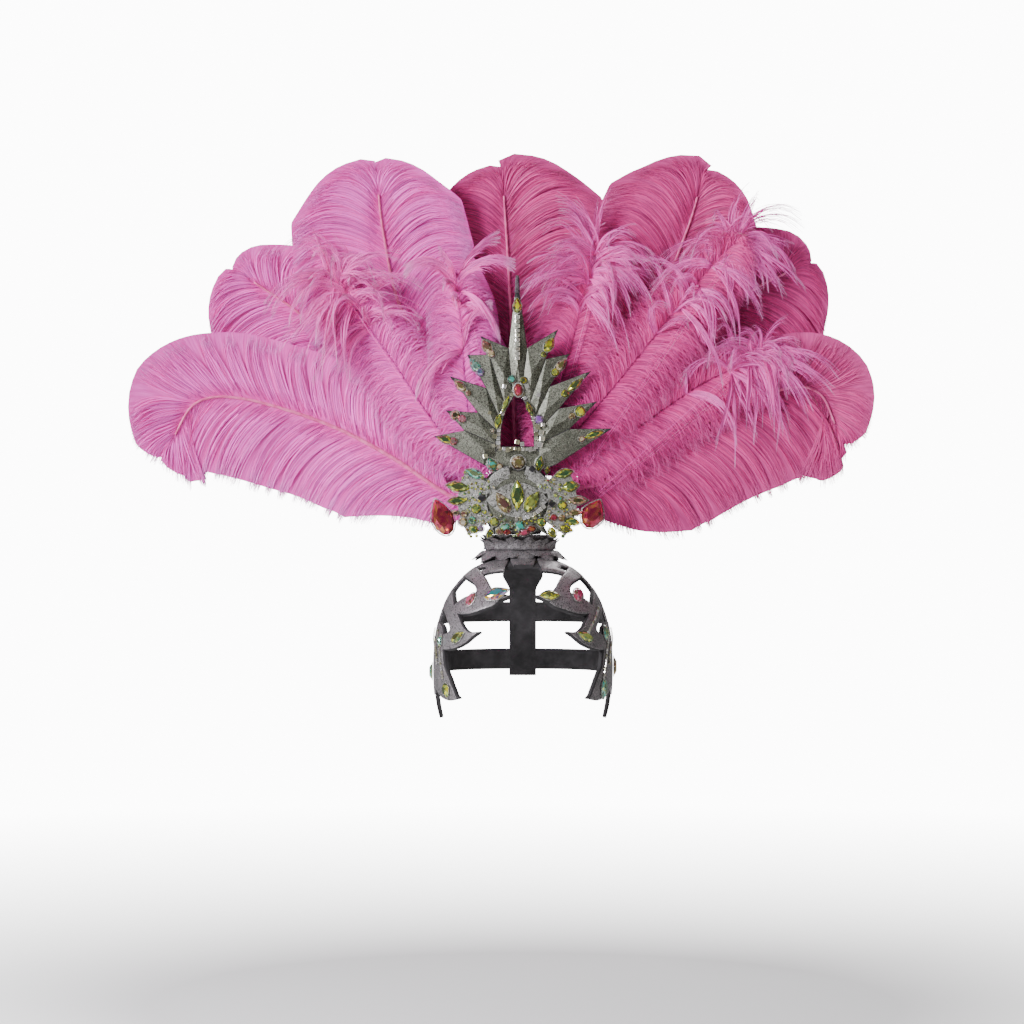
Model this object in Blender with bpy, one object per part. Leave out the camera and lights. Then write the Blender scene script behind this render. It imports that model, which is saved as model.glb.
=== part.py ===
"""Carnival feather headdress: an open-work foam skull cap, a neck, a spiked and stoned crest, ostrich plumes.

Metres, +Z up. The front faces -Y. The origin is where the top of the head touches the crown plate.
"""

import math

import bmesh
import bpy
import numpy as np
from mathutils import Matrix, Vector

# Head form that the cap is shaped on: a rounded box of three half sizes, and its roundness
HEAD_WIDE = 0.081
HEAD_DEEP = 0.098
HEAD_TALL = 0.104
HEAD_ROUND = 2.4
FOAM = 0.0044
GLUE_GAP = 0.0003

# Crown plate and the strip down the back
PLATE_HALF_WIDE = 0.040
PLATE_FRONT = 0.050
BACK_STRIP_HALF = 0.013

# Side ribs, seen from the side
RIB_HALF = 0.012
RIB_Y = 0.004
RIB_TOP_OFF = 0.0007
FLAP_BOTTOM = -0.146

# Bands behind the head
BAND_HALF = 0.010
BAND_HEIGHTS = (-0.052, -0.098)

# Neck and leaf collar
NECK_X = -0.003
NECK_Y = 0.003
NECK_HEIGHT = 0.024
NECK_SIDES = 24
# The neck's profile: height, and half widths across and in depth
NECK_PROFILE = (
    {"up": 0.0070, "wide": 0.0350, "deep": 0.0250},
    {"up": 0.0110, "wide": 0.0310, "deep": 0.0185},
    {"up": 0.0160, "wide": 0.0300, "deep": 0.0175},
    {"up": NECK_HEIGHT, "wide": 0.0360, "deep": 0.0195},
)
COLLAR_FOOT = 0.0115
COLLAR_PEAK = 0.0215
COLLAR_VALLEY = 0.0165
COLLAR_THICK = 0.0030

# Crest: the upright ornament
CREST_X = -0.0055
CREST_BACK = -0.0170
CREST_EDGE = 0.0040
CREST_RIDGE = 0.0085
CREST_LEDGE = 0.0050
TIP_BACK = 0.0022
LEDGE_WIDE = 0.0048
ARCH_BOTTOM = 0.1075
ARCH_TOP = 0.1590
ARCH_HALF = 0.0155
CREST_FOOT = 0.0270
TONGUE_HALF = 0.0230
TILE_THICK = 0.0012

# How far each kind of stone stands out
CAP_STONE_TALL = 0.0032
SPIKE_STONE_TALL = 0.0035
ARCH_STONE_TALL = 0.0040
RAY_STONE_TALL = 0.0040
FAN_STONE_TALL = 0.0052
PENDANT_TALL = 0.0075
PENDANT_WIDE = 0.0215

# Rosette at the crest's foot
ROSETTE_Z = 0.0560
PETAL_THICK = 0.0040
PETAL_RIDGE = 0.0035
PETAL_TIP_BACK = 0.0010
BACKING = 0.0012
DISC_RADIUS = 0.0270
DISC_STEP = 0.0012

# Feather holder and plumes
FAN_X = -0.006
FAN_Z = 0.056
HOLDER_RADIUS = 0.036
HOLDER_BOTTOM = NECK_HEIGHT + GLUE_GAP
SOCKET_START = 0.014
QUILL = 0.0019
SOCKET_PLAY = 0.0005
LAYER_FRONT = -0.0110
LAYER_PITCH = 0.0062
LAYER_SPREAD = 0.90
FAN_REACH = 0.350
CURL_START = 0.43 * FAN_REACH
CURL_DEPTH = 0.055
BARB_SAG = 0.75
VANE_THICK = 0.0030
VANE_EDGE = 0.0009
LOCK_NOTCH = 0.09
LOCK_LENGTH = 0.044

# How barbs grow along a quill: share of the quill, share of the vane's half width, and their angles in degrees
VANE_SECTIONS = (
    {"along": 0.15, "reach": 0.50, "leave": 40, "arrive": 64},
    {"along": 0.26, "reach": 0.96, "leave": 44, "arrive": 74},
    {"along": 0.50, "reach": 1.00, "leave": 46, "arrive": 78},
    {"along": 0.70, "reach": 1.00, "leave": 44, "arrive": 80},
    {"along": 0.86, "reach": 0.95, "leave": 40, "arrive": 80},
    {"along": 0.95, "reach": 0.68, "leave": 30, "arrive": 70},
    {"along": 1.00, "reach": 0.29, "leave": 3, "arrive": 16},
)

# Plumes: layer from the front, half widths left and right of the quill walking outwards, and the quill's route
# seen from the front as (x, z) from the fan's centre. All but the layer are shares of the fan's reach
PLUMES = {
    "plume_centre": (5, 0.250, 0.320, ((-0.011, 0.329), (-0.020, 0.591), (-0.029, 0.745), (-0.036, 0.843))),
    "plume_mid_left": (4, 0.268, 0.185, ((-0.234, 0.169), (-0.411, 0.340), (-0.574, 0.497),
                                         (-0.722, 0.600))),
    "plume_mid_right": (4, 0.200, 0.275, ((0.200, 0.194), (0.443, 0.423), (0.620, 0.560), (0.740, 0.622))),
    "plume_high_left": (3, 0.287, 0.270, ((-0.211, 0.291), (-0.286, 0.463), (-0.331, 0.569), (-0.363, 0.737),
                                          (-0.374, 0.840))),
    "plume_high_right": (3, 0.290, 0.235, ((0.271, 0.340), (0.326, 0.443), (0.409, 0.603), (0.465, 0.745),
                                           (0.490, 0.832))),
    "plume_low_left": (2, 0.243, 0.198, ((-0.180, 0.014), (-0.346, 0.123), (-0.520, 0.211), (-0.737, 0.276),
                                         (-0.860, 0.265), (-0.925, 0.165))),
    "plume_low_right": (2, 0.166, 0.270, ((0.234, 0.051), (0.334, 0.106), (0.514, 0.214), (0.720, 0.302),
                                          (0.815, 0.290), (0.862, 0.195))),
    "tuft_left": (1, 0.126, 0.137, ((-0.209, 0.194), (-0.357, 0.411), (-0.466, 0.560), (-0.511, 0.606))),
    "tuft_top_right": (1, 0.126, 0.120, ((0.117, 0.303), (0.180, 0.546), (0.220, 0.677))),
    "tuft_low_right": (1, 0.109, 0.137, ((0.280, 0.166), (0.497, 0.314), (0.674, 0.397))),
    "tuft_inner_left": (0, 0.109, 0.114, ((-0.126, 0.220), (-0.149, 0.466), (-0.166, 0.600))),
    "tuft_far_right": (0, 0.126, 0.137, ((0.280, 0.329), (0.497, 0.600), (0.594, 0.703))),
}

# Colours of the foam, glitter, plumes and stones
BLACK_FOAM = (0.035, 0.033, 0.035)
SILVER = (0.36, 0.35, 0.34)
PINK = (0.78, 0.18, 0.48)
MIRROR = (0.80, 0.82, 0.80)
STONE_COLOURS = {
    "lime": (0.62, 0.72, 0.10),
    "aqua": (0.25, 0.75, 0.68),
    "rose": (0.75, 0.25, 0.35),
    "ruby": (0.42, 0.04, 0.07),
    "champagne": (0.70, 0.62, 0.45),
    "lilac": (0.60, 0.45, 0.70),
}


def clear_scene():
    for old in list(bpy.data.objects):
        bpy.data.objects.remove(old, do_unlink=True)


def new_collection(name):
    group = bpy.data.collections.new(name)
    bpy.context.scene.collection.children.link(group)
    return group


def material(name, colour, roughness, metallic=0.0):
    found = bpy.data.materials.get(name)
    if found:
        return found
    made = bpy.data.materials.new(name)
    made.use_nodes = True
    shader = made.node_tree.nodes["Principled BSDF"]
    shader.inputs["Base Color"].default_value = (*colour, 1.0)
    shader.inputs["Roughness"].default_value = roughness
    shader.inputs["Metallic"].default_value = metallic
    made.diffuse_color = (*colour, 1.0)
    return made


def silver_foam():
    return material("silver_glitter_foam", SILVER, 0.45, 0.5)


def stone_glass(colour):
    return material(f"{colour}_stone", STONE_COLOURS[colour], 0.08)


def add_object(name, mesh, group, surface):
    made = bpy.data.objects.new(name, mesh)
    mesh.materials.append(surface)
    group.objects.link(made)
    return made


def closed_mesh(name, points, faces):
    """A closed mesh from points and faces, with its faces turned outwards."""
    shape = bmesh.new()
    corners = [shape.verts.new(point) for point in points]
    for face in faces:
        shape.faces.new([corners[index] for index in face])
    bmesh.ops.recalc_face_normals(shape, faces=shape.faces)
    mesh = bpy.data.meshes.new(name)
    shape.to_mesh(mesh)
    shape.free()
    return mesh


def ring_loft(name, rings):
    """A closed solid through rings of equal count, with flat ends."""
    count = len(rings[0])
    points = [point for ring in rings for point in ring]
    faces = [list(range(count))[::-1], [(len(rings) - 1) * count + index for index in range(count)]]
    for row in range(len(rings) - 1):
        for index in range(count):
            after = (index + 1) % count
            faces.append((row * count + index, row * count + after,
                          (row + 1) * count + after, (row + 1) * count + index))
    return closed_mesh(name, points, faces)


def sheet_solid(name, front, back):
    """A closed solid between two grids of points with the same rows and columns."""
    rows, columns = len(front), len(front[0])
    points = [point for row in front for point in row] + [point for row in back for point in row]
    behind = rows * columns
    faces = []
    for row in range(rows - 1):
        for column in range(columns - 1):
            corner = row * columns + column
            square = (corner, corner + 1, corner + columns + 1, corner + columns)
            faces.append(square)
            faces.append([behind + index for index in reversed(square)])
    rim = [column for column in range(columns)]
    rim += [row * columns + columns - 1 for row in range(1, rows)]
    rim += [(rows - 1) * columns + column for column in range(columns - 2, -1, -1)]
    rim += [row * columns for row in range(rows - 2, 0, -1)]
    for here, after in zip(rim, rim[1:] + rim[:1]):
        faces.append((here, after, behind + after, behind + here))
    return closed_mesh(name, points, faces)


def to_head(point):
    """The point of the head form's surface on the line from its centre to a point, and the way out there."""
    centre = Vector((0.0, 0.0, -HEAD_TALL))
    way = Vector(point) - centre
    halves = (HEAD_WIDE, HEAD_DEEP, HEAD_TALL)
    total = sum(abs(value / half) ** HEAD_ROUND for value, half in zip(way, halves))
    way *= total ** (-1.0 / HEAD_ROUND)
    slope = [math.copysign(abs(value / half) ** (HEAD_ROUND - 1.0) / half, value)
             for value, half in zip(way, halves)]
    return centre + way, Vector(slope).normalized()


def seen_in_front(across, up, side):
    """The point of the head form's front that shows at shares of its half width and half height."""
    left = 1.0 - abs(across) ** HEAD_ROUND - abs(up + 1.0) ** HEAD_ROUND
    return Vector((side * across * HEAD_WIDE, -HEAD_DEEP * max(left, 0.0) ** (1.0 / HEAD_ROUND), up * HEAD_TALL))


def seen_from_side(y, z, side):
    """The point of the head form's side that shows at y, z from that side; below the middle it hangs straight."""
    height = max(z, -HEAD_TALL)
    left = 1.0 - abs(y / HEAD_DEEP) ** HEAD_ROUND - abs((height + HEAD_TALL) / HEAD_TALL) ** HEAD_ROUND
    return Vector((side * HEAD_WIDE * max(left, 0.0) ** (1.0 / HEAD_ROUND), y, z))


def shell_grid(path, halves, lift, columns=3):
    """Rows of points across a path on the head form, lifted off it."""
    rows = []
    for index, point in enumerate(path):
        base, out = to_head(point)
        before = to_head(path[max(index - 1, 0)])[0]
        after = to_head(path[min(index + 1, len(path) - 1)])[0]
        across = out.cross((after - before).normalized()).normalized()
        row = []
        for column in range(columns):
            share = 2.0 * column / (columns - 1) - 1.0
            spot, way = to_head(base + across * (share * halves[index]))
            row.append(spot + way * lift)
        rows.append(row)
    return rows


def shell_strip(name, path, halves, low, high, columns=3):
    """A strip of foam on the head form, from one lift off it to another."""
    return sheet_solid(name, shell_grid(path, halves, high, columns), shell_grid(path, halves, low, columns))


def between(first, last, count):
    return [first + (last - first) * index / (count - 1) for index in range(count)]


def smooth_route(points, steps=40):
    """A smooth curve through points, as fine points and the length up to each."""
    spots = [np.array(point, float) for point in points]
    spots = [2 * spots[0] - spots[1]] + spots + [2 * spots[-1] - spots[-2]]
    fine = []
    for index in range(len(spots) - 3):
        a, b, c, d = spots[index:index + 4]
        for step in range(steps):
            t = step / steps
            fine.append(0.5 * (2 * b + (c - a) * t + (2 * a - 5 * b + 4 * c - d) * t * t
                               + (3 * b - a - 3 * c + d) * t ** 3))
    fine.append(spots[-2])
    fine = np.array(fine)
    lengths = np.concatenate([[0.0], np.cumsum(np.linalg.norm(np.diff(fine, axis=0), axis=1))])
    return fine, lengths


def on_route(fine, lengths, share):
    """The point at a share of a route, and its direction."""
    def spot(length):
        return np.array([np.interp(length, lengths, fine[:, axis]) for axis in range(fine.shape[1])])
    step = 0.004 * lengths[-1]
    here = share * lengths[-1]
    way = spot(min(here + step, lengths[-1])) - spot(max(here - step, 0.0))
    return spot(here), way / np.linalg.norm(way)


def union(target, pieces):
    """Joins pieces to a target with Boolean unions; the pieces become hidden cutters."""
    for piece in pieces:
        piece.hide_render = True
        piece.display_type = "WIRE"
        join = target.modifiers.new(f"join_{piece.name}", "BOOLEAN")
        join.operation = "UNION"
        join.solver = "EXACT"
        join.object = piece


# Cap

def side_rib_path(side):
    """From the crown plate's edge down to the ear flap."""
    top_x = PLATE_HALF_WIDE + RIB_TOP_OFF
    path = [to_head(Vector((side * top_x, RIB_Y, 0.0)))[0]]
    for share in between(0.18, 1.0, 9):
        angle = math.radians(32 + 58 * share)
        way = Vector((side * math.sin(angle), 0.0, math.cos(angle)))
        path.append(to_head(Vector((0, RIB_Y, -HEAD_TALL)) + way * HEAD_TALL)[0])
    for share in between(0.25, 1.0, 4):
        path.append(Vector((side * HEAD_WIDE * (1 - 0.13 * share ** 2), RIB_Y + 0.008 * share,
                            -HEAD_TALL + (FLAP_BOTTOM + HEAD_TALL) * share)))
    return path


# Arms of the open-work sides, seen from the front on the right: the stem's route and the leaf's route from its
# round end to its point, as shares of the head form's half width and half height, and the leaf's half width
ARMS = (
    {"stem": ((0.630, -0.106), (0.494, -0.192), (0.420, -0.288), (0.383, -0.356)),
     "leaf": ((0.741, -0.452), (0.605, -0.413), (0.457, -0.375), (0.296, -0.346), (0.123, -0.327)),
     "half": 0.0085},
    {"stem": ((0.877, -0.288), (0.815, -0.433), (0.741, -0.577), (0.691, -0.654)),
     "leaf": ((0.932, -0.760), (0.840, -0.731), (0.728, -0.702), (0.605, -0.673), (0.469, -0.635)),
     "half": 0.0080},
    {"stem": ((0.969, -0.635), (0.951, -0.788), (0.932, -0.933), (0.907, -1.058)),
     "leaf": ((0.920, -1.000), (0.889, -1.096), (0.846, -1.163), (0.778, -1.202), (0.704, -1.221)),
     "half": 0.0085},
)
LEAF_PROFILE = (0.45, 0.95, 1.00, 0.72, 0.12)
STEM_HALF = 0.0062


def leaf_lift():
    """The height of a leaf's face off the head form."""
    return FOAM + 0.0003


def build_side_frame(label, side, group, tools):
    """One side of the cap: a rib with three arms, each a stem and a pointed leaf, in one sheet of foam."""
    rib_path = side_rib_path(side)
    rib_halves = [RIB_HALF] * (len(rib_path) - 4) + [RIB_HALF * share for share in (0.95, 0.80, 0.60, 0.30)]
    rib = shell_strip(f"side_frame_{label}", rib_path, rib_halves, 0.0, FOAM)
    frame = add_object(f"side_frame_{label}", rib, group, silver_foam())
    pieces = []
    for number, arm in enumerate(ARMS, start=1):
        route = [seen_in_front(*share, side) for share in arm["stem"]]
        start = to_head(rib_path[2 + 2 * number] * 0.6 + route[0] * 0.4)[0]
        stem = shell_strip(f"stem_{label}_{number}", [start] + route, [STEM_HALF] * (len(route) + 1),
                           0.0004, FOAM - 0.0004)
        leaf_route = [seen_in_front(*share, side) for share in arm["leaf"]]
        leaf = shell_strip(f"leaf_{label}_{number}", leaf_route,
                           [arm["half"] * share for share in LEAF_PROFILE], 0.0002, leaf_lift(), columns=5)
        for mesh in (stem, leaf):
            pieces.append(add_object(mesh.name, mesh, tools, silver_foam()))
    union(frame, pieces)
    return frame


def build_crown_plate(group):
    """The plate over the top of the head, from its front edge to where the back strip begins."""
    path = [Vector((0.0, y, 0.0)) for y in between(-PLATE_FRONT, PLATE_FRONT, 9)]
    path = [to_head(point)[0] for point in path]
    half = PLATE_HALF_WIDE
    halves = [half * share for share in (0.72, 0.90, 0.97, 1.0, 1.0, 1.0, 0.97, 0.85, 0.65)]
    mesh = shell_strip("crown_plate", path, halves, 0.0, FOAM, columns=7)
    return add_object("crown_plate", mesh, group, silver_foam())


def build_back_frame(group, tools):
    """The plain bands behind: a strip down the middle and two bands from rib to rib."""
    strip_path = []
    plate_end = math.atan2(PLATE_FRONT, HEAD_TALL) + 2 * GLUE_GAP / HEAD_TALL
    for angle in between(plate_end, math.radians(96), 8):
        strip_path.append(to_head(Vector((0.0, math.sin(angle), math.cos(angle))) * HEAD_TALL
                                  + Vector((0.0, 0.0, -HEAD_TALL)))[0])
    strip = shell_strip("back_frame", strip_path, [BACK_STRIP_HALF * 1.5] * 2 + [BACK_STRIP_HALF] * 6, 0.0, FOAM)
    frame = add_object("back_frame", strip, group, silver_foam())
    pieces = []
    for number, height in enumerate(BAND_HEIGHTS, start=1):
        edge = RIB_Y + RIB_HALF + 2 * GLUE_GAP
        start = seen_from_side(edge, height, 1)
        turn = math.atan2(start.x, start.y)
        path = []
        for angle in between(turn, -turn, 13):
            way = Vector((math.sin(angle), math.cos(angle), 0.0))
            path.append(at_height(way, height))
        mesh = shell_strip(f"band_{number}", path, [BAND_HALF] * len(path), 0.0003, FOAM - 0.0003)
        pieces.append(add_object(mesh.name, mesh, tools, silver_foam()))
    union(frame, pieces)
    return frame


def at_height(way, height):
    """The head form's point at a height, out along a level direction from its middle."""
    level = 1.0 - abs((height + HEAD_TALL) / HEAD_TALL) ** HEAD_ROUND
    total = abs(way.x / HEAD_WIDE) ** HEAD_ROUND + abs(way.y / HEAD_DEEP) ** HEAD_ROUND
    reach = (level / total) ** (1.0 / HEAD_ROUND)
    return Vector((way.x * reach, way.y * reach, height))


def build_temple_tiles(label, side, group):
    """Mirror tiles down the third arm, in one grooved strip."""
    stem = ARMS[2]["stem"]
    fine, lengths = smooth_route([tuple(seen_in_front(*share, side)) for share in stem[:3]])
    tiles = 6
    groove = 0.08
    path, lifts = [], []
    for tile in range(tiles):
        for share in (groove, 1 - groove):
            path.append(Vector(on_route(fine, lengths, (tile + share) / tiles)[0]))
            lifts.append(1.0)
        if tile < tiles - 1:
            path.append(Vector(on_route(fine, lengths, (tile + 1) / tiles)[0]))
            lifts.append(0.4)
    low = FOAM + GLUE_GAP + 0.0006
    halves = [0.0024] * len(path)
    top = [shell_grid(path, halves, low + TILE_THICK * lift)[row] for row, lift in enumerate(lifts)]
    mesh = sheet_solid(f"temple_tiles_{label}", top, shell_grid(path, halves, low))
    return add_object(mesh.name, mesh, group, material("mirror_tile", MIRROR, 0.05, 1.0))


# Neck and collar

def oval_ring(wide, deep, z):
    """An oval round the neck's middle, starting at the front."""
    ring = []
    for index in range(NECK_SIDES):
        angle = 2 * math.pi * index / NECK_SIDES
        ring.append((NECK_X + wide * math.sin(angle), NECK_Y - deep * math.cos(angle), z))
    return ring


def neck_half(up):
    """The neck's half widths at a height."""
    heights = [row["up"] for row in NECK_PROFILE]
    return [float(np.interp(up, heights, [row[key] for row in NECK_PROFILE])) for key in ("wide", "deep")]


def build_neck(group):
    """The waisted pedestal between the crown plate and the crest. Its foot follows the plate."""
    wide, deep = neck_half(0.0)
    rings = []
    for share in (0.2, 0.6, 1.0):
        foot = []
        for point in oval_ring(share * wide, share * deep, 0.0):
            spot, out = to_head(point)
            foot.append(spot + out * (FOAM + 2 * GLUE_GAP))
        rings.append(foot)
    for row in NECK_PROFILE:
        rings.append(oval_ring(row["wide"], row["deep"], row["up"]))
    return add_object("neck", ring_loft("neck", rings), group, silver_foam())


def build_collar(group):
    """A ring of pointed leaves that leans out from the neck's waist."""
    rows = [[], [], [], []]
    for index in range(NECK_SIDES):
        peak = COLLAR_VALLEY if index % 2 else COLLAR_PEAK
        thick = COLLAR_THICK * (0.7 if index % 2 else 1.0)
        for row, (up, lift) in enumerate(((COLLAR_FOOT, 0.0), (COLLAR_FOOT - 0.0005, COLLAR_THICK),
                                          (peak - 0.0015, thick), (peak, 0.0))):
            wide, deep = neck_half(max(up, COLLAR_FOOT))
            rows[row].append(oval_ring(wide + 2 * GLUE_GAP + lift, deep + 2 * GLUE_GAP + lift, up)[index])
    points = [point for row in rows for point in row]
    faces = []
    for row in range(4):
        below, above = row * NECK_SIDES, ((row + 1) % 4) * NECK_SIDES
        for index in range(NECK_SIDES):
            after = (index + 1) % NECK_SIDES
            faces.append((below + index, below + after, above + after, above + index))
    return add_object("leaf_collar", closed_mesh("leaf_collar", points, faces), group, silver_foam())


# Crest: spikes in order round the arch from the lower left, over the top, to the lower right. Each has its tip
# from the crest's middle line and from the origin's height
SPIKE_TIPS = (
    (-0.0790, 0.1170), (-0.0675, 0.1415), (-0.0640, 0.1740), (-0.0475, 0.1940), (-0.0350, 0.2120),
    (0.0000, 0.2700),
    (0.0390, 0.2185), (0.0495, 0.1950), (0.0700, 0.1790), (0.0760, 0.1500), (0.0900, 0.1245),
)
# Where each spike's foot begins and ends on the crest's rim: the rim's points in the same order
RIM = (
    (-0.0318, 0.0902), (-0.0501, 0.1227), (-0.0373, 0.1396), (-0.0295, 0.1627), (-0.0264, 0.1942),
    (-0.0083, 0.2004),
    (0.0093, 0.2004), (0.0269, 0.1900), (0.0306, 0.1640), (0.0397, 0.1434), (0.0492, 0.1240),
    (0.0359, 0.0898),
)


def arch_outline(grow=0.0):
    """Points of the pointed arch's side, from the bottom left over the top to the bottom right."""
    rows = ((-1.0, 0.00), (-1.0, 0.22), (-0.93, 0.42), (-0.74, 0.62), (-0.42, 0.82), (0.0, 1.0))
    tall = ARCH_TOP - ARCH_BOTTOM
    left = [(wide * (ARCH_HALF + grow), ARCH_BOTTOM - grow + (tall + 2.4 * grow) * up) for wide, up in rows]
    return left + [(-x, z) for x, z in reversed(left[:-1])]


def spine_point(index):
    """The raised middle of a spike's foot, from the crest's middle line and the origin's height."""
    ledge = arch_outline(LEDGE_WIDE)[index]
    return tuple((rim + after) / 4 + near / 2 for rim, after, near in zip(RIM[index], RIM[index + 1], ledge))


def build_crest(group):
    """The spiked ring round the arch, with a raised ridge, a flat ledge at the opening and a tongue below."""
    front = {"edge": CREST_BACK - CREST_EDGE, "ridge": CREST_BACK - CREST_RIDGE,
             "ledge": CREST_BACK - CREST_LEDGE}
    inner = arch_outline()
    ledge = arch_outline(LEDGE_WIDE)
    points, faces = [], []

    def add(x, z, y):
        points.append((CREST_X + x, y, z))
        return len(points) - 1
    spikes = len(SPIKE_TIPS)
    rim_front = [add(x, z, front["edge"]) for x, z in RIM]
    rim_back = [add(x, z, CREST_BACK) for x, z in RIM]
    tip_front = [add(x, z, front["edge"] + TIP_BACK) for x, z in SPIKE_TIPS]
    tip_back = [add(x, z, CREST_BACK) for x, z in SPIKE_TIPS]
    spine = []
    for index in range(spikes):
        spine.append(add(*spine_point(index), front["ridge"]))
    ledge_front = [add(x, z, front["ledge"]) for x, z in ledge]
    inner_front = [add(x, z, front["ledge"]) for x, z in inner]
    inner_back = [add(x, z, CREST_BACK) for x, z in inner]
    for index in range(spikes):
        faces.append((rim_front[index], tip_front[index], spine[index]))
        faces.append((tip_front[index], rim_front[index + 1], spine[index]))
        faces.append((rim_front[index], rim_back[index], tip_back[index], tip_front[index]))
        faces.append((tip_front[index], tip_back[index], rim_back[index + 1], rim_front[index + 1]))
    for index in range(spikes - 1):
        faces.append((spine[index], rim_front[index + 1], spine[index + 1]))
        faces.append((spine[index], spine[index + 1], ledge_front[index + 1], ledge_front[index]))
    for index in range(len(inner) - 1):
        faces.append((ledge_front[index], ledge_front[index + 1], inner_front[index + 1], inner_front[index]))
        faces.append((inner_front[index], inner_front[index + 1], inner_back[index + 1], inner_back[index]))
    foot = [(-TONGUE_HALF, 0.0860), (-TONGUE_HALF * 0.9, CREST_FOOT), (TONGUE_HALF * 0.9, CREST_FOOT),
            (TONGUE_HALF, 0.0860)]
    foot_front = [add(x, z, front["edge"]) for x, z in foot]
    foot_back = [add(x, z, CREST_BACK) for x, z in foot]
    loop_front = [rim_front[0]] + foot_front + [rim_front[-1]]
    loop_back = [rim_back[0]] + foot_back + [rim_back[-1]]
    for index in range(len(loop_front) - 1):
        faces.append((loop_front[index], loop_front[index + 1], loop_back[index + 1], loop_back[index]))
    faces.append((rim_front[0], spine[0], ledge_front[0]))
    faces.append((rim_front[-1], ledge_front[-1], spine[-1]))
    faces.append((ledge_front[0], ledge_front[-1], inner_front[-1], inner_front[0]))
    faces.append((inner_front[0], inner_front[-1], inner_back[-1], inner_back[0]))
    faces.append((rim_front[0], ledge_front[0], foot_front[0]))
    faces.append((ledge_front[0], ledge_front[-1], foot_front[-1], foot_front[0]))
    faces.append((rim_front[-1], foot_front[-1], ledge_front[-1]))
    faces.append(foot_front)
    for index in range(spikes):
        faces.append((rim_back[index], rim_back[index + 1], tip_back[index]))
        faces.append((rim_back[index], rim_back[index + 1], inner_back[index]))
    for index in range(spikes - 1):
        faces.append((rim_back[index + 1], inner_back[index + 1], inner_back[index]))
    faces.append((rim_back[0], inner_back[0], foot_back[0]))
    faces.append((inner_back[0], inner_back[-1], foot_back[-1], foot_back[0]))
    faces.append((rim_back[-1], inner_back[-1], foot_back[-1]))
    faces.append(foot_back)
    mesh = closed_mesh("crest_plate", points, faces)
    return add_object("crest_plate", mesh, group, silver_foam())


# Stones

def stone_outline(kind, count=8):
    """The girdle of a stone as shares of its half length and half width; its point is at +1."""
    points = []
    for index in range(count):
        angle = 2 * math.pi * index / count
        along, across = math.cos(angle), math.sin(angle)
        if kind == "pear":
            across *= 1.0 - 0.62 * max(along, 0.0) ** 1.2
        elif kind == "navette":
            across *= 1.0 - 0.55 * abs(along) ** 1.6
        points.append((along, across))
    return points


def add_stone(name, kind, colour, place, out, along, length, width, height, group):
    """A flat-backed cut stone: a girdle, sloping crown facets and a table. It lies at a place, facing out."""
    out = Vector(out).normalized()
    along = Vector(along)
    along = (along - out * along.dot(out)).normalized()
    turn = Matrix((along, out.cross(along), out)).transposed().to_4x4()
    outline = stone_outline(kind)
    rings = []
    for share, level in ((0.96, 0.0), (1.0, 0.22), (0.55, 1.0)):
        rings.append([(x * share * length / 2, y * share * width / 2, level * height) for x, y in outline])
    made = add_object(name, ring_loft(name, rings), group, stone_glass(colour))
    made.matrix_world = Matrix.Translation(Vector(place)) @ turn
    return made


# Stones on the spikes: kind, colour, share of the way from the spike's foot to its tip, length and width
SPIKE_STONES = (
    ("pear", "lime", 0.77, 0.016, 0.008), ("round", "champagne", 0.74, 0.009, 0.009),
    ("pear", "champagne", 0.73, 0.015, 0.008), ("pear", "aqua", 0.70, 0.016, 0.009),
    ("pear", "champagne", 0.72, 0.015, 0.009),
    ("pear", "lime", 0.66, 0.015, 0.008),
    ("pear", "lime", 0.66, 0.016, 0.009), ("pear", "champagne", 0.70, 0.016, 0.008),
    ("navette", "lime", 0.64, 0.020, 0.007), ("round", "lime", 0.62, 0.010, 0.010),
    ("navette", "lime", 0.70, 0.020, 0.007),
)


def spike_frame(index):
    """A spike's foot, its tip and the slope of its ridge, as points in space."""
    foot_x, foot_z = spine_point(index)
    foot = Vector((CREST_X + foot_x, CREST_BACK - CREST_RIDGE, foot_z))
    tip = Vector((CREST_X + SPIKE_TIPS[index][0], CREST_BACK - CREST_EDGE + TIP_BACK, SPIKE_TIPS[index][1]))
    return foot, tip


def build_spike_stones(group):
    for index, (kind, colour, share, length, width) in enumerate(SPIKE_STONES):
        foot, tip = spike_frame(index)
        way = (tip - foot).normalized()
        out = Vector((0.0, -1.0, 0.0)) + way * way.y
        spot = foot.lerp(tip, share) + out.normalized() * GLUE_GAP
        add_stone(f"spike_stone_{index + 1:02d}", kind, colour, spot, out, way, length, width,
                  SPIKE_STONE_TALL, group)


# Stones round the arch, from the crest's middle line and the origin's height
ARCH_STONES = (
    ("arch_stone_top", "oval", "ruby", (0.0010, 0.1608), (0.0, 1.0), 0.0120, 0.0080),
    ("arch_stone_foot", "round", "champagne", (0.0010, 0.0924), (0.0, 1.0), 0.0130, 0.0130),
    ("arch_stone_left", "pear", "aqua", (-0.0235, 0.0905), (-0.5, 0.9), 0.0145, 0.0095),
    ("arch_stone_right", "navette", "lime", (0.0210, 0.0912), (0.2, 1.0), 0.0155, 0.0080),
)


def build_arch_stones(group):
    for name, kind, colour, (x, z), (way_x, way_z), length, width in ARCH_STONES:
        on_tiles = TILE_THICK + GLUE_GAP if z > ARCH_TOP else 0.0
        level = CREST_BACK - CREST_LEDGE - GLUE_GAP - on_tiles
        add_stone(name, kind, colour, (CREST_X + x, level, z), (0, -1, 0), (way_x, 0, way_z), length, width,
                  ARCH_STONE_TALL, group)


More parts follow.
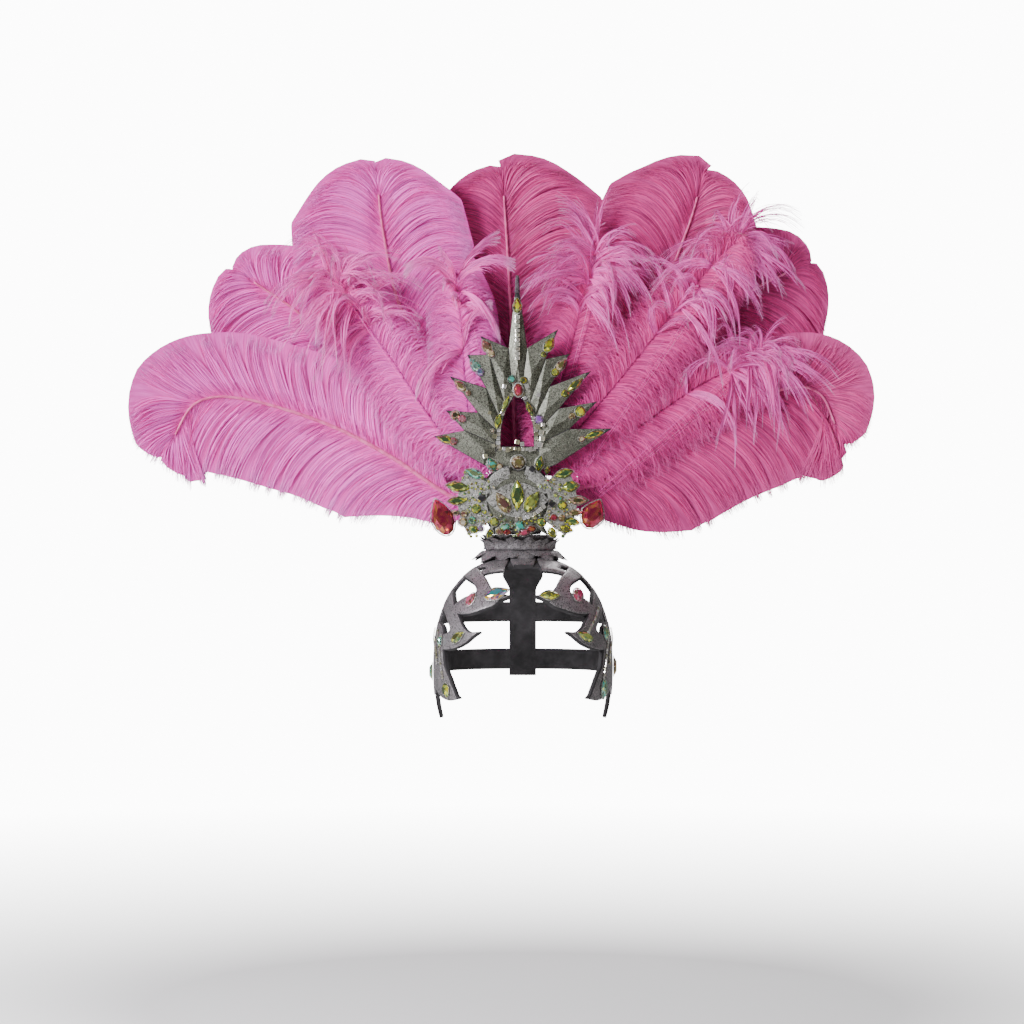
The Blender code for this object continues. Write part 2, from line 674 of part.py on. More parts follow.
def build_arch_tiles(group):
    """The strip of mirror tiles on the ledge round the opening, in one grooved piece."""
    rows = 26
    inner_line, lengths = smooth_route(arch_outline(0.0006), 8)
    outer_line, outer_lengths = smooth_route(arch_outline(LEDGE_WIDE - 0.0008), 8)
    low = CREST_BACK - CREST_LEDGE - GLUE_GAP
    front, back = [], []
    for row in range(rows):
        share = row / (rows - 1)
        depth = low - TILE_THICK * (0.45 if row % 3 == 2 else 1.0)
        a = on_route(inner_line, lengths, share)[0]
        b = on_route(outer_line, outer_lengths, share)[0]
        front.append([(CREST_X + a[0], depth, a[1]), (CREST_X + b[0], depth, b[1])])
        back.append([(CREST_X + a[0], low, a[1]), (CREST_X + b[0], low, b[1])])
    mesh = sheet_solid("arch_tiles", front, back)
    return add_object("arch_tiles", mesh, group, material("mirror_tile", MIRROR, 0.05, 1.0))


# The petals that carry the two big pears
PENDANT_PETALS = {"left": -169, "right": -10}
# Rosette: petals in order from the top, by angle in degrees and reach from the rosette's middle
PETAL_REACH = {60: 0.034, 25: 0.054, 8: 0.056, -10: 0.072, -30: 0.058, -48: 0.046, -66: 0.036, -90: 0.033,
               -114: 0.036, -132: 0.047, -150: 0.058, -169: 0.074, 172: 0.058, 152: 0.056, 120: 0.036}


def rosette_back():
    return CREST_BACK - CREST_EDGE - GLUE_GAP


def build_rosette(group):
    """The petals and the round disc in one plate; every petal has a raised ridge."""
    back = rosette_back()
    edge, ridge = back - PETAL_THICK, back - PETAL_THICK - PETAL_RIDGE
    disc = ridge - DISC_STEP
    angles = list(PETAL_REACH)
    points, faces = [], []

    def add(radius, degrees, y):
        angle = math.radians(degrees)
        points.append((CREST_X + radius * math.cos(angle), y, ROSETTE_Z + radius * math.sin(angle)))
        return len(points) - 1
    count = len(angles)
    middles = []
    for index, degrees in enumerate(angles):
        after = angles[(index + 1) % count]
        step = (after - degrees + 540) % 360 - 180
        middles.append(degrees + step / 2)
    waist = DISC_RADIUS + 0.0015
    tip_front = [add(PETAL_REACH[degrees], degrees, edge + PETAL_TIP_BACK) for degrees in angles]
    tip_back = [add(PETAL_REACH[degrees], degrees, back) for degrees in angles]
    notch_front = [add(waist, degrees, edge) for degrees in middles]
    notch_back = [add(waist, degrees, back) for degrees in middles]
    root = [add(DISC_RADIUS, degrees, ridge) for degrees in angles]
    dip = [add(DISC_RADIUS, degrees, ridge) for degrees in middles]
    rim = [add(DISC_RADIUS - DISC_STEP, degrees, disc) for degrees in angles]
    rim_dip = [add(DISC_RADIUS - DISC_STEP, degrees, disc) for degrees in middles]
    for index in range(count):
        after = (index + 1) % count
        faces.append((tip_front[index], notch_front[index], dip[index], root[index]))
        faces.append((notch_front[index], tip_front[after], root[after], dip[index]))
        faces.append((tip_front[index], tip_back[index], notch_back[index], notch_front[index]))
        faces.append((notch_front[index], notch_back[index], tip_back[after], tip_front[after]))
        faces.append((root[index], dip[index], rim_dip[index], rim[index]))
        faces.append((dip[index], root[after], rim[after], rim_dip[index]))
    faces.append([corner for pair in zip(rim, rim_dip) for corner in pair])
    faces.append([corner for pair in zip(tip_back, notch_back) for corner in pair])
    mesh = closed_mesh("rosette_plate", points, faces)
    return add_object("rosette_plate", mesh, group, silver_foam())


def disc_face():
    return rosette_back() - PETAL_THICK - PETAL_RIDGE - DISC_STEP - GLUE_GAP


FAN_STONES = (
    ("fan_stone_middle", "navette", "lime", (0.0, 0.0055), (0.0, 1.0), 0.029, 0.0125),
    ("fan_stone_left", "pear", "champagne", (-0.0135, -0.0015), (-0.6, 0.9), 0.023, 0.012),
    ("fan_stone_right", "pear", "lime", (0.0140, -0.0005), (0.6, 0.9), 0.023, 0.012),
)


def build_fan_stones(group):
    for name, kind, colour, (x, z), (way_x, way_z), length, width in FAN_STONES:
        add_stone(name, kind, colour, (CREST_X + x, disc_face(), ROSETTE_Z + z), (0, -1, 0), (way_x, 0, way_z),
                  length, width, FAN_STONE_TALL, group)


# Rays: fields of stones at both sides of the disc, by angle, distance from the rosette's middle, length and width
RAY_STONES = {
    "left": ((147, 0.0470, 0.018, 0.009), (164, 0.0560, 0.024, 0.010), (181, 0.0555, 0.019, 0.008),
             (193, 0.0400, 0.009, 0.009), (192, 0.0560, 0.010, 0.006), (204, 0.0545, 0.010, 0.010),
             (217, 0.0480, 0.018, 0.009)),
    "right": ((30, 0.0500, 0.017, 0.009), (14, 0.0520, 0.019, 0.009), (0, 0.0560, 0.020, 0.008),
              (-13, 0.0400, 0.009, 0.009), (-13, 0.0530, 0.014, 0.008), (-28, 0.0555, 0.018, 0.008)),
}


def ridge_level(radius, reach):
    """The front of a petal's ridge at a distance from the rosette's middle."""
    root = rosette_back() - PETAL_THICK - PETAL_RIDGE
    tip = rosette_back() - PETAL_THICK + PETAL_TIP_BACK
    return root + (tip - root) * (radius - DISC_RADIUS) / (reach - DISC_RADIUS)


def build_ray_stones(label, group, tools):
    """Small stones set on a thin curved backing, in one piece with it. It lies on the petals' ridges."""
    rays = RAY_STONES[label]
    reach = PETAL_REACH[PENDANT_PETALS[label]]
    inner, outer = DISC_RADIUS + 0.0080, 0.0560
    degrees = [ray[0] for ray in rays]
    front, back = [], []
    for angle in between(min(degrees) - 4, max(degrees) + 4, 9):
        turn = math.radians(angle)
        row_front, row_back = [], []
        for radius in (inner, outer):
            x, z = CREST_X + radius * math.cos(turn), ROSETTE_Z + radius * math.sin(turn)
            level = ridge_level(radius, reach) - GLUE_GAP
            row_front.append((x, level - BACKING, z))
            row_back.append((x, level, z))
        front.append(row_front)
        back.append(row_back)
    mesh = sheet_solid(f"ray_stones_{label}", front, back)
    base = add_object(mesh.name, mesh, group, material("backed_small_stones", MIRROR, 0.1))
    fall = (ridge_level(outer, reach) - ridge_level(inner, reach)) / (outer - inner)
    pieces = []
    for number, (angle, radius, length, width) in enumerate(rays, start=1):
        turn = math.radians(angle)
        way = Vector((math.cos(turn), fall, math.sin(turn))).normalized()
        out = Vector((0.0, -1.0, 0.0)) + way * way.y
        place = Vector((CREST_X + radius * math.cos(turn), ridge_level(radius, reach) - GLUE_GAP - 0.4 * BACKING,
                        ROSETTE_Z + radius * math.sin(turn)))
        kind = "navette" if length > width * 1.3 else "round"
        pieces.append(add_stone(f"ray_{label}_{number}", kind, "champagne", place, out, way, length, width,
                                RAY_STONE_TALL, tools))
    union(base, pieces)
    return base


def build_pendants(group):
    """The two big red pears at the rosette's sides, each on a petal's tip."""
    level = rosette_back() - PETAL_THICK - GLUE_GAP
    for label, x, z, way, length in (("left", -0.0708, 0.0408, (-0.36, 0.0, 0.93), 0.036),
                                     ("right", 0.0715, 0.0440, (0.45, 0.0, 0.90), 0.029)):
        add_stone(f"pendant_{label}", "pear", "ruby", (CREST_X + x, level, z), (0, -1, 0), way, length, PENDANT_WIDE,
                  PENDANT_TALL, group)


# Stones on the cap's leaves, seen from the front on each side: kind, colour, place as shares of the head form's
# half width and half height, direction, length and width
CAP_STONES = {
    "left": (
        ("pear", "aqua", (0.290, -0.317), (-1.0, 0.25), 0.023, 0.013),
        ("oval", "rose", (0.568, -0.370), (-0.25, 1.0), 0.014, 0.009),
        ("pear", "lime", (0.704, -0.683), (-1.0, 0.25), 0.018, 0.009),
        ("oval", "aqua", (0.895, -0.726), (0.3, 1.0), 0.011, 0.007),
        ("pear", "lime", (0.830, -1.154), (-0.6, -0.8), 0.014, 0.010),
    ),
    "right": (
        ("navette", "lime", (0.290, -0.332), (1.0, 0.2), 0.019, 0.010),
        ("oval", "rose", (0.593, -0.332), (0.6, 0.8), 0.017, 0.011),
        ("pear", "lime", (0.667, -0.678), (-1.0, 0.15), 0.020, 0.009),
        ("oval", "aqua", (0.889, -0.654), (0.5, 0.9), 0.014, 0.008),
        ("oval", "aqua", (0.870, -1.144), (0.1, 1.0), 0.018, 0.010),
    ),
}
# The oval stone upright on each rib: colour, height as a share of the head form's half height, length and width
RIB_STONES = {"left": ("aqua", -1.019, 0.0150, 0.0100), "right": ("champagne", -0.971, 0.0180, 0.0100)}


def build_cap_stones(label, side, group):
    stones = [(kind, colour, seen_in_front(*share, side), (side * way_x, 0.0, way_z), length, width)
              for kind, colour, share, (way_x, way_z), length, width in CAP_STONES[label]]
    colour, up, length, width = RIB_STONES[label]
    stones.append(("oval", colour, seen_from_side(RIB_Y, up * HEAD_TALL, side), (0.0, 0.0, 1.0), length, width))
    for number, (kind, colour, seen, way, length, width) in enumerate(stones, start=1):
        spot, out = to_head(seen)
        add_stone(f"cap_stone_{label}_{number}", kind, colour, spot + out * (leaf_lift() + GLUE_GAP), out, way,
                  length, width, CAP_STONE_TALL, group)


# Plumes

def layer_depth(layer, distance):
    """How far back a layer of the fan lies at a distance from the fan's centre; the tips curl forward."""
    curl = max(distance - CURL_START, 0.0) / (FAN_REACH - CURL_START)
    spread = max(distance - HOLDER_RADIUS, 0.0) / FAN_REACH
    pitch = LAYER_PITCH * (1.0 + LAYER_SPREAD * spread)
    return LAYER_FRONT + pitch * layer - CURL_DEPTH * curl ** 2


def plume_route(route):
    """The quill's route with its straight foot in the holder, as (x, z) from the fan's centre."""
    first = Vector(route[0]).normalized()
    foot = [tuple(first * SOCKET_START), tuple(first * (HOLDER_RADIUS + 0.004))]
    return smooth_route(foot + [(x * FAN_REACH, z * FAN_REACH) for x, z in route])


def vane_profile(share):
    along = [row["along"] for row in VANE_SECTIONS]
    return [float(np.interp(share, along, [row[key] for row in VANE_SECTIONS]))
            for key in ("reach", "leave", "arrive")]


def barb_points(fine, lengths, share, side, half_width, marks):
    """Points along one barb at the given distances from the quill, where it bends over and sags."""
    spot, way = on_route(fine, lengths, share)
    reach, leave, arrive = vane_profile(share)
    normal = np.array((-way[1], way[0])) * side
    length = half_width * reach
    steps = 8
    line, far = [spot], [0.0]
    for step in range(steps):
        done = (step + 0.5) / steps
        angle = math.radians(leave + (arrive - leave) * done)
        move = math.cos(angle) * way + math.sin(angle) * normal + np.array((0.0, -BARB_SAG * done ** 2))
        spot = spot + move * (length / steps / np.linalg.norm(move))
        line.append(spot)
        far.append((step + 1) * length / steps)
    line = np.array(line)
    return [np.array([np.interp(mark * length, far, line[:, axis]) for axis in (0, 1)]) for mark in marks]


def build_plume(name, group):
    """One ostrich plume: a quill with a vane on both sides that is split into locks, in one piece."""
    layer, left, right, route = PLUMES[name]
    fine, lengths = plume_route(route)
    vane_start = VANE_SECTIONS[0]["along"]
    total = lengths[-1]
    locks = round(total * (1 - vane_start) / LOCK_LENGTH)
    stations = [(0.0, None), (HOLDER_RADIUS / total * 0.62, None), (vane_start * 0.96, None)]
    for half_step in range(2 * locks + 1):
        stations.append((vane_start + (1 - vane_start) * half_step / (2 * locks), half_step % 2))
    front, back = [], []
    for share, in_lock in stations:
        quill = QUILL * (1.0 - 0.6 * share)
        spot, way = on_route(fine, lengths, share)
        normal = np.array((-way[1], way[0]))
        row = {0: (spot, quill)}
        for side, half_width in ((1, left * FAN_REACH), (-1, right * FAN_REACH)):
            if in_lock is None:
                for column, mark, deep in ((1, 0.55, 0.82), (2, 0.85, 0.5), (3, 1.0, 0.12)):
                    row[side * column] = (spot + normal * (side * quill * mark), quill * deep)
                continue
            notch = 1.0 - (0.0 if in_lock else LOCK_NOTCH)
            inner, middle, outer = barb_points(fine, lengths, share, side, half_width * notch, (0.0, 0.5, 1.0))
            body = VANE_THICK * (1.0 if in_lock else 0.62) / 2
            row[side] = (inner + normal * (side * quill * 1.1), max(body, quill * 0.6))
            row[side * 2] = (middle, body)
            row[side * 3] = (outer, VANE_EDGE / 2)
        front_row, back_row = [], []
        for column in range(-3, 4):
            (x, z), deep = row[column]
            y = layer_depth(layer, math.hypot(x, z))
            front_row.append((FAN_X + x, y - deep, FAN_Z + z))
            back_row.append((FAN_X + x, y + deep, FAN_Z + z))
        front.append(front_row)
        back.append(back_row)
    mesh = sheet_solid(name, front, back)
    return add_object(name, mesh, group, material("dyed_plume", PINK, 0.7))


def build_holder(group, tools):
    """The plain block behind the rosette, with a socket for every quill."""
    layers = [row[0] for row in PLUMES.values()]
    back = layer_depth(max(layers), SOCKET_START) + 0.006
    front = CREST_BACK + GLUE_GAP
    outline = []
    for degrees in between(-14, 194, 27):
        angle = math.radians(degrees)
        outline.append((FAN_X + HOLDER_RADIUS * math.cos(angle), FAN_Z + HOLDER_RADIUS * math.sin(angle)))
    outline += [(FAN_X - 0.022, HOLDER_BOTTOM), (FAN_X + 0.022, HOLDER_BOTTOM)]
    mesh = ring_loft("feather_holder", [[(x, y, z) for x, z in outline] for y in (front, back)])
    holder = add_object("feather_holder", mesh, group, material("black_foam", BLACK_FOAM, 0.8))
    for name, (layer, _, _, route) in PLUMES.items():
        way = Vector((route[0][0], 0.0, route[0][1])).normalized()
        start = SOCKET_START - 0.001
        depth = HOLDER_RADIUS + 0.010 - start
        middle = start + depth / 2
        shape = bmesh.new()
        bmesh.ops.create_cone(shape, cap_ends=True, segments=6, radius1=QUILL + SOCKET_PLAY,
                              radius2=QUILL + SOCKET_PLAY + 0.0004, depth=depth)
        socket = bpy.data.meshes.new(f"socket_{name}")
        shape.to_mesh(socket)
        shape.free()
        cutter = add_object(f"socket_{name}", socket, tools, material("black_foam", BLACK_FOAM, 0.8))
        place = Vector((FAN_X, 0.0, FAN_Z)) + way * middle
        place.y = layer_depth(layer, middle)
        cutter.matrix_world = Matrix.Translation(place) @ way.to_track_quat("Z", "Y").to_matrix().to_4x4()
        cutter.hide_render = True
        cutter.display_type = "WIRE"
        cut = holder.modifiers.new(f"cut_{name}", "BOOLEAN")
        cut.operation = "DIFFERENCE"
        cut.solver = "EXACT"
        cut.object = cutter
    return holder


clear_scene()
headdress = new_collection("feather_headdress")
tools = new_collection("cutters")
build_crown_plate(headdress)
build_back_frame(headdress, tools)
for word, sign in (("left", -1), ("right", 1)):
    build_side_frame(word, sign, headdress, tools)
    build_temple_tiles(word, sign, headdress)
    build_cap_stones(word, sign, headdress)
    build_ray_stones(word, headdress, tools)
build_neck(headdress)
build_collar(headdress)
build_crest(headdress)
build_arch_tiles(headdress)
build_rosette(headdress)
build_fan_stones(headdress)
build_spike_stones(headdress)
build_arch_stones(headdress)
build_pendants(headdress)
build_holder(headdress, tools)
for plume in PLUMES:
    build_plume(plume, headdress)
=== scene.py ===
"""Carnival feather headdress: the finish of every piece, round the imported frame.

Metres, +Z up, the front faces -Y. The origin is where the top of the head touches the crown plate.
The file follows the headdress as it is put together: cap, neck, crest, rosette, stones, holder, plumes.
"""

import math

import bmesh
import bpy
import numpy as np
from mathutils import Matrix, Vector, noise


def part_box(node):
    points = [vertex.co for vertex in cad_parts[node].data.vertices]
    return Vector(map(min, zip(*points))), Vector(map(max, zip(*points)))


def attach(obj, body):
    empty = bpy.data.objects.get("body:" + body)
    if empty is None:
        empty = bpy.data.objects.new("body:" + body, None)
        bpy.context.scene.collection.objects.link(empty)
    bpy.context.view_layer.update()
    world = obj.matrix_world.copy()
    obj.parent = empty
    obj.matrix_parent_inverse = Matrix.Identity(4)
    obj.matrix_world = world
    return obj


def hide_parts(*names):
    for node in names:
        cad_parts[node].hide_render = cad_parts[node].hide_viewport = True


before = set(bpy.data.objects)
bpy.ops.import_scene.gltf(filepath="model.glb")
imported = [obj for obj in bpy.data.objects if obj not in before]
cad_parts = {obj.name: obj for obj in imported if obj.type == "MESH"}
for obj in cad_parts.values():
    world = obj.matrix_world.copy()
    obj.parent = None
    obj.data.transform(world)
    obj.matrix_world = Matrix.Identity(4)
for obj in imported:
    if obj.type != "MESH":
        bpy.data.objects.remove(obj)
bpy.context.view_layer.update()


# Studio: a pale floor under the headdress, which is held up as a head holds it, plain soft light that is
# stronger from the left, and a level camera straight in front.

PHOTO_PIXELS = 1024
METRES_PER_PIXEL = 0.00095
PICTURE_MIDDLE = Vector((-0.01045, 0.0, 0.0456))
CAMERA_AWAY = 3.2
SENSOR = 36.0
FLOOR_Z = -0.42
BACKDROP = 12.0


def node(tree, kind, inputs=None, **settings):
    """A new node with its properties set, and its inputs linked or set by name or number."""
    made = tree.nodes.new(kind)
    for key, value in settings.items():
        setattr(made, key, value)
    for key, value in (inputs or {}).items():
        if isinstance(value, bpy.types.NodeSocket):
            tree.links.new(value, made.inputs[key])
        else:
            made.inputs[key].default_value = value
    return made


def calc(tree, operation, *values):
    """The result of one sum, as a socket."""
    return node(tree, "ShaderNodeMath", dict(enumerate(values)), operation=operation).outputs[0]


def new_material(name, **shader_values):
    """A Principled material with plain values set on the shader. Gives the material, its tree and the shader."""
    made = bpy.data.materials.new(name)
    made.use_nodes = True
    tree = made.node_tree
    shader = tree.nodes["Principled BSDF"]
    for key, value in shader_values.items():
        shader.inputs[key.replace("_", " ")].default_value = value
    return made, tree, shader


def linked(name, data):
    """A new object in the scene."""
    made = bpy.data.objects.new(name, data)
    bpy.context.scene.collection.objects.link(made)
    return made


def mesh_of(name, shape):
    """The mesh of a bmesh, which is freed."""
    mesh = bpy.data.meshes.new(name)
    shape.to_mesh(mesh)
    shape.free()
    return mesh


def object_place(tree):
    """Object coordinates, so that a finish stays on its piece."""
    return node(tree, "ShaderNodeTexCoord").outputs["Object"]


def floor_finish():
    """Pale paper that fades into the white backdrop away from the object."""
    made, tree, shader = new_material("pale_floor", Roughness=0.75)
    place = object_place(tree)
    mottle = node(tree, "ShaderNodeTexNoise", {"Vector": place, "Scale": 3.0, "Detail": 4.0})
    tone = node(tree, "ShaderNodeMapRange", {"Value": mottle.outputs["Fac"], "To Min": 0.90, "To Max": 0.95})
    grey = node(tree, "ShaderNodeCombineColor", {0: tone.outputs[0], 1: tone.outputs[0], 2: tone.outputs[0]})
    tree.links.new(grey.outputs[0], shader.inputs["Base Color"])
    away = node(tree, "ShaderNodeVectorMath", {0: place}, operation="LENGTH").outputs["Value"]
    fade = node(tree, "ShaderNodeMapRange", {"Value": away, "From Min": 0.55, "From Max": 2.2})
    seen = node(tree, "ShaderNodeLightPath").outputs["Is Camera Ray"]
    glow = node(tree, "ShaderNodeMix", {"Factor": seen, "A": 0.35, "B": BACKDROP})
    white = node(tree, "ShaderNodeEmission", {"Strength": glow.outputs[0]})
    mixed = node(tree, "ShaderNodeMixShader", {0: fade.outputs[0], 1: shader.outputs[0], 2: white.outputs[0]})
    tree.links.new(mixed.outputs[0], tree.nodes["Material Output"].inputs["Surface"])
    return made


def build_floor():
    """The wide floor under the object, which is not part of it."""
    shape = bmesh.new()
    bmesh.ops.create_grid(shape, x_segments=4, y_segments=4, size=14.0)
    bmesh.ops.translate(shape, verts=shape.verts, vec=(0.0, 0.0, FLOOR_Z))
    floor = linked("floor", mesh_of("floor", shape))
    floor.data.materials.append(floor_finish())


def build_camera():
    """A camera straight in front, at the photo's own scale."""
    lens = bpy.data.cameras.new("camera")
    lens.sensor_width = SENSOR
    lens.lens = SENSOR * CAMERA_AWAY / (PHOTO_PIXELS * METRES_PER_PIXEL)
    camera = linked("camera", lens)
    camera.location = PICTURE_MIDDLE + Vector((0.0, -CAMERA_AWAY, 0.0))
    camera.rotation_euler = (math.radians(90), 0.0, 0.0)
    bpy.context.scene.camera = camera


def build_light(name, place, size, power, tint):
    """A round area light that points at the object."""
    lamp = bpy.data.lights.new(name, "AREA")
    lamp.shape = "DISK"
    lamp.size = size
    lamp.energy = power
    lamp.color = tint
    light = linked(name, lamp)
    light.location = place
    light.rotation_euler = (Vector((0.0, 0.0, 0.1)) - Vector(place)).to_track_quat("-Z", "Y").to_euler()


def build_world():
    """White where the camera looks past the object, and a grey room that is darker below for the rest."""
    world = bpy.data.worlds.new("studio")
    bpy.context.scene.world = world
    world.use_nodes = True
    tree = world.node_tree
    back = tree.nodes["Background"]
    back.inputs["Color"].default_value = (1.0, 1.0, 1.0, 1.0)
    away = node(tree, "ShaderNodeTexCoord").outputs["Generated"]
    height = node(tree, "ShaderNodeSeparateXYZ", {0: away}).outputs["Z"]
    room = node(tree, "ShaderNodeMapRange", {"Value": height, "From Min": -0.4, "From Max": 0.6, "To Min": 0.07,
                                              "To Max": 0.36})
    seen = node(tree, "ShaderNodeLightPath").outputs["Is Camera Ray"]
    level = node(tree, "ShaderNodeMix", {"Factor": seen, "A": room.outputs[0], "B": BACKDROP})
    tree.links.new(level.outputs[0], back.inputs["Strength"])


build_floor()
build_camera()
build_world()
build_light("key_left", (-1.05, -1.0, 0.60), 0.7, 42.0, (0.97, 0.95, 1.0))
build_light("fill_right", (1.4, -2.4, 0.1), 1.6, 7.0, (1.0, 0.86, 0.76))
build_light("rim_behind", (0.2, 2.2, 1.6), 1.6, 40.0, (1.0, 0.97, 0.98))


# Cap: an open-work skull cap of thin black foam, moulded to the head and faced with silver glitter cloth. The
# facing is cut a little smaller than the foam, so every strip and leaf has a black outline and is black inside.

HEAD_WIDE = 0.081
HEAD_DEEP = 0.098
HEAD_TALL = 0.104
HEAD_HALVES = np.array((HEAD_WIDE, HEAD_DEEP, HEAD_TALL))
HEAD_ROUND = 2.4
FOAM = 0.0044
FOAM_BASE = 0.0023
GLUE_GAP = 0.0003
FACING_EDGE = 0.0009
WHOLE_FACING = 0.01
FOAM_EDGE_COLOUR = (0.018, 0.017, 0.018)
ARM_FILLET = 0.006
ARM_STEP = 0.0008
ARM_MARGIN = 0.012
ARM_ROUNDING = 0.0016
ARM_RISE = 0.0013
CROWN_HALF_WIDE = 0.040
SHOULDER_HALF = 0.0085
HOOP_HALF = 0.0042
CROWN_FRONT = 0.050
# The shoulder's and hoop's places as shares of the head's half width and height, seen from the front
CROWN_SHOULDER = ((0.36, -0.052), (0.46, -0.072), (0.56, -0.105), (0.63, -0.140))
CROWN_HOOP = ((0.20, -0.095), (0.33, -0.105), (0.45, -0.130), (0.53, -0.170))
RIB_HALF = 0.012
RIB_Y = 0.004
RIB_TOP_OFF = 0.0007
FLAP_BOTTOM = -0.146
BACK_STRIP_HALF = 0.013
BAND_HALF = 0.010
BAND_HEIGHTS = (-0.052, -0.098)
STEM_HALF = 0.0062
LEAF_SHAPE = (0.45, 0.80, 0.97, 1.00, 0.93, 0.74, 0.48, 0.24, 0.07)
# Arms of the open-work sides: the stem's and the leaf's routes as shares of the head's half width and half height
ARMS = (
    {"stem": ((0.630, -0.106), (0.494, -0.192), (0.420, -0.288), (0.383, -0.356)),
     "leaf": ((0.741, -0.452), (0.605, -0.413), (0.457, -0.375), (0.296, -0.346), (0.123, -0.327)),
     "half": 0.0085},
    {"stem": ((0.877, -0.288), (0.815, -0.433), (0.741, -0.577), (0.691, -0.654)),
     "leaf": ((0.932, -0.760), (0.840, -0.731), (0.728, -0.702), (0.605, -0.673), (0.469, -0.635)),
     "half": 0.0080},
    {"stem": ((0.969, -0.635), (0.951, -0.788), (0.932, -0.933), (0.907, -1.058)),
     "leaf": ((0.920, -1.000), (0.889, -1.096), (0.846, -1.163), (0.778, -1.202), (0.704, -1.221)),
     "half": 0.0085},
)


def unit(vector):
    """A vector at length one."""
    return np.array(vector, float) / np.linalg.norm(vector)


def on_head(point):
    """The point of the head form's surface on the line from its centre to a point, and the way out there."""
    centre = np.array((0.0, 0.0, -HEAD_TALL))
    way = np.array(point, float) - centre
    way = way * (np.abs(way / HEAD_HALVES) ** HEAD_ROUND).sum() ** (-1.0 / HEAD_ROUND)
    slope = np.sign(way) * np.abs(way / HEAD_HALVES) ** (HEAD_ROUND - 1.0) / HEAD_HALVES
    return centre + way, unit(slope)


def front_point(across, up, side):
    """The point of the head form's front that shows at shares of its half width and half height."""
    left = 1.0 - abs(across) ** HEAD_ROUND - abs(up + 1.0) ** HEAD_ROUND
    return np.array((side * across * HEAD_WIDE, -HEAD_DEEP * max(left, 0.0) ** (1.0 / HEAD_ROUND), up * HEAD_TALL))


def side_point(y, z, side):
    """The point of the head form's side at a depth and a height; below the form's middle it hangs straight down."""
    height = max(z, -HEAD_TALL)
    left = 1.0 - abs(y / HEAD_DEEP) ** HEAD_ROUND - abs((height + HEAD_TALL) / HEAD_TALL) ** HEAD_ROUND
    return np.array((side * HEAD_WIDE * max(left, 0.0) ** (1.0 / HEAD_ROUND), y, z))


def smooth_route(points, steps=40):
    """A smooth curve through points, as fine points and the length up to each."""
    spots = [np.array(point, float) for point in points]
    spots = [2 * spots[0] - spots[1]] + spots + [2 * spots[-1] - spots[-2]]
    fine = []
    for index in range(len(spots) - 3):
        a, b, c, d = spots[index:index + 4]
        for step in range(steps):
            t = step / steps
            fine.append(0.5 * (2 * b + (c - a) * t + (2 * a - 5 * b + 4 * c - d) * t * t
                               + (3 * b - a - 3 * c + d) * t ** 3))
    fine.append(spots[-2])
    fine = np.array(fine)
    lengths = np.concatenate([[0.0], np.cumsum(np.linalg.norm(np.diff(fine, axis=0), axis=1))])
    return fine, lengths


def on_route(fine, lengths, share):
    """The point at a share of a route, and its direction."""
    def spot(length):
        return np.array([np.interp(length, lengths, fine[:, axis]) for axis in range(fine.shape[1])])
    step = 0.004 * lengths[-1]
    here = share * lengths[-1]
    way = spot(min(here + step, lengths[-1])) - spot(max(here - step, 0.0))
    return spot(here), unit(way)


def float_layer(elements, name):
    """A float layer of a bmesh's vertices or faces, made when it isn't there yet."""
    return elements.layers.float.get(name) or elements.layers.float.new(name)


def face_whole(shape):
    """Marks every vertex as well inside the facing, so that no black rim shows."""
    edge = float_layer(shape.verts, "edge")
    for vertex in shape.verts:
        vertex[edge] = WHOLE_FACING


def bridge(shape, rings, material=0, smooth=False):
    """Joins each ring of vertices to the next one with quads, all the way round."""
    for lower, upper in zip(rings, rings[1:]):
        for index in range(len(lower)):
            after = (index + 1) % len(lower)
            face = shape.faces.new((lower[index], lower[after], upper[after], upper[index]))
            face.material_index = material
            face.smooth = smooth


def add_strip(shape, route, halves, low, high, shift=0.0, rows=30, columns=5, faced=True):
    """Adds one strip of foam that lies on the head form between two lifts, with a rounded and faced top. Faces of
    the facing get material 1, the foam's own faces material 0."""
    fine, lengths = smooth_route(route)
    edge = float_layer(shape.verts, "edge")
    rings = []
    for row in range(rows):
        share = row / (rows - 1)
        base, way = on_route(fine, lengths, share)
        half = float(np.interp(share, np.linspace(0.0, 1.0, len(halves)), halves))
        out = on_head(base)[1]
        across = unit(np.cross(out, way))
        inner = max(1.0 - FACING_EDGE / half, 0.3)
        section = [(-1.0, 0.0), (-1.0, 0.62)]
        for column in range(columns):
            place = 2.0 * column / (columns - 1) - 1.0
            section.append((place * inner, 0.90 + 0.10 * (1.0 - place ** 2)))
        section += [(1.0, 0.62), (1.0, 0.0)]
        section += [(1.0 - 2.0 * column / (columns - 1), 0.0) for column in range(1, columns - 1)]
        ring = []
        for place, height in section:
            spot, away = on_head(base + across * (shift + place * half))
            vertex = shape.verts.new(spot + away * (low + (high - low) * height))
            vertex[edge] = WHOLE_FACING if faced else 0.0
            ring.append(vertex)
        rings.append(ring)
    count = len(rings[0])
    for before, after in zip(rings, rings[1:]):
        for index in range(count):
            following = (index + 1) % count
            face = shape.faces.new((before[index], before[following], after[following], after[index]))
            face.material_index = 1 if faced and index < columns + 3 else 0
            face.smooth = True
    shape.faces.new(rings[0])
    shape.faces.new(rings[-1])


def circles(places, points, halves):
    """Signed distance of places from the union of circles along a line, and the share along it that is nearest."""
    best = np.full(len(places), 1e9)
    nearest = np.zeros(len(places))
    for index, (point, half) in enumerate(zip(points, halves)):
        distance = np.hypot(places[:, 0] - point[0], places[:, 1] - point[1]) - half
        closer = distance < best
        best[closer] = distance[closer]
        nearest[closer] = index / (len(points) - 1)
    return best, nearest


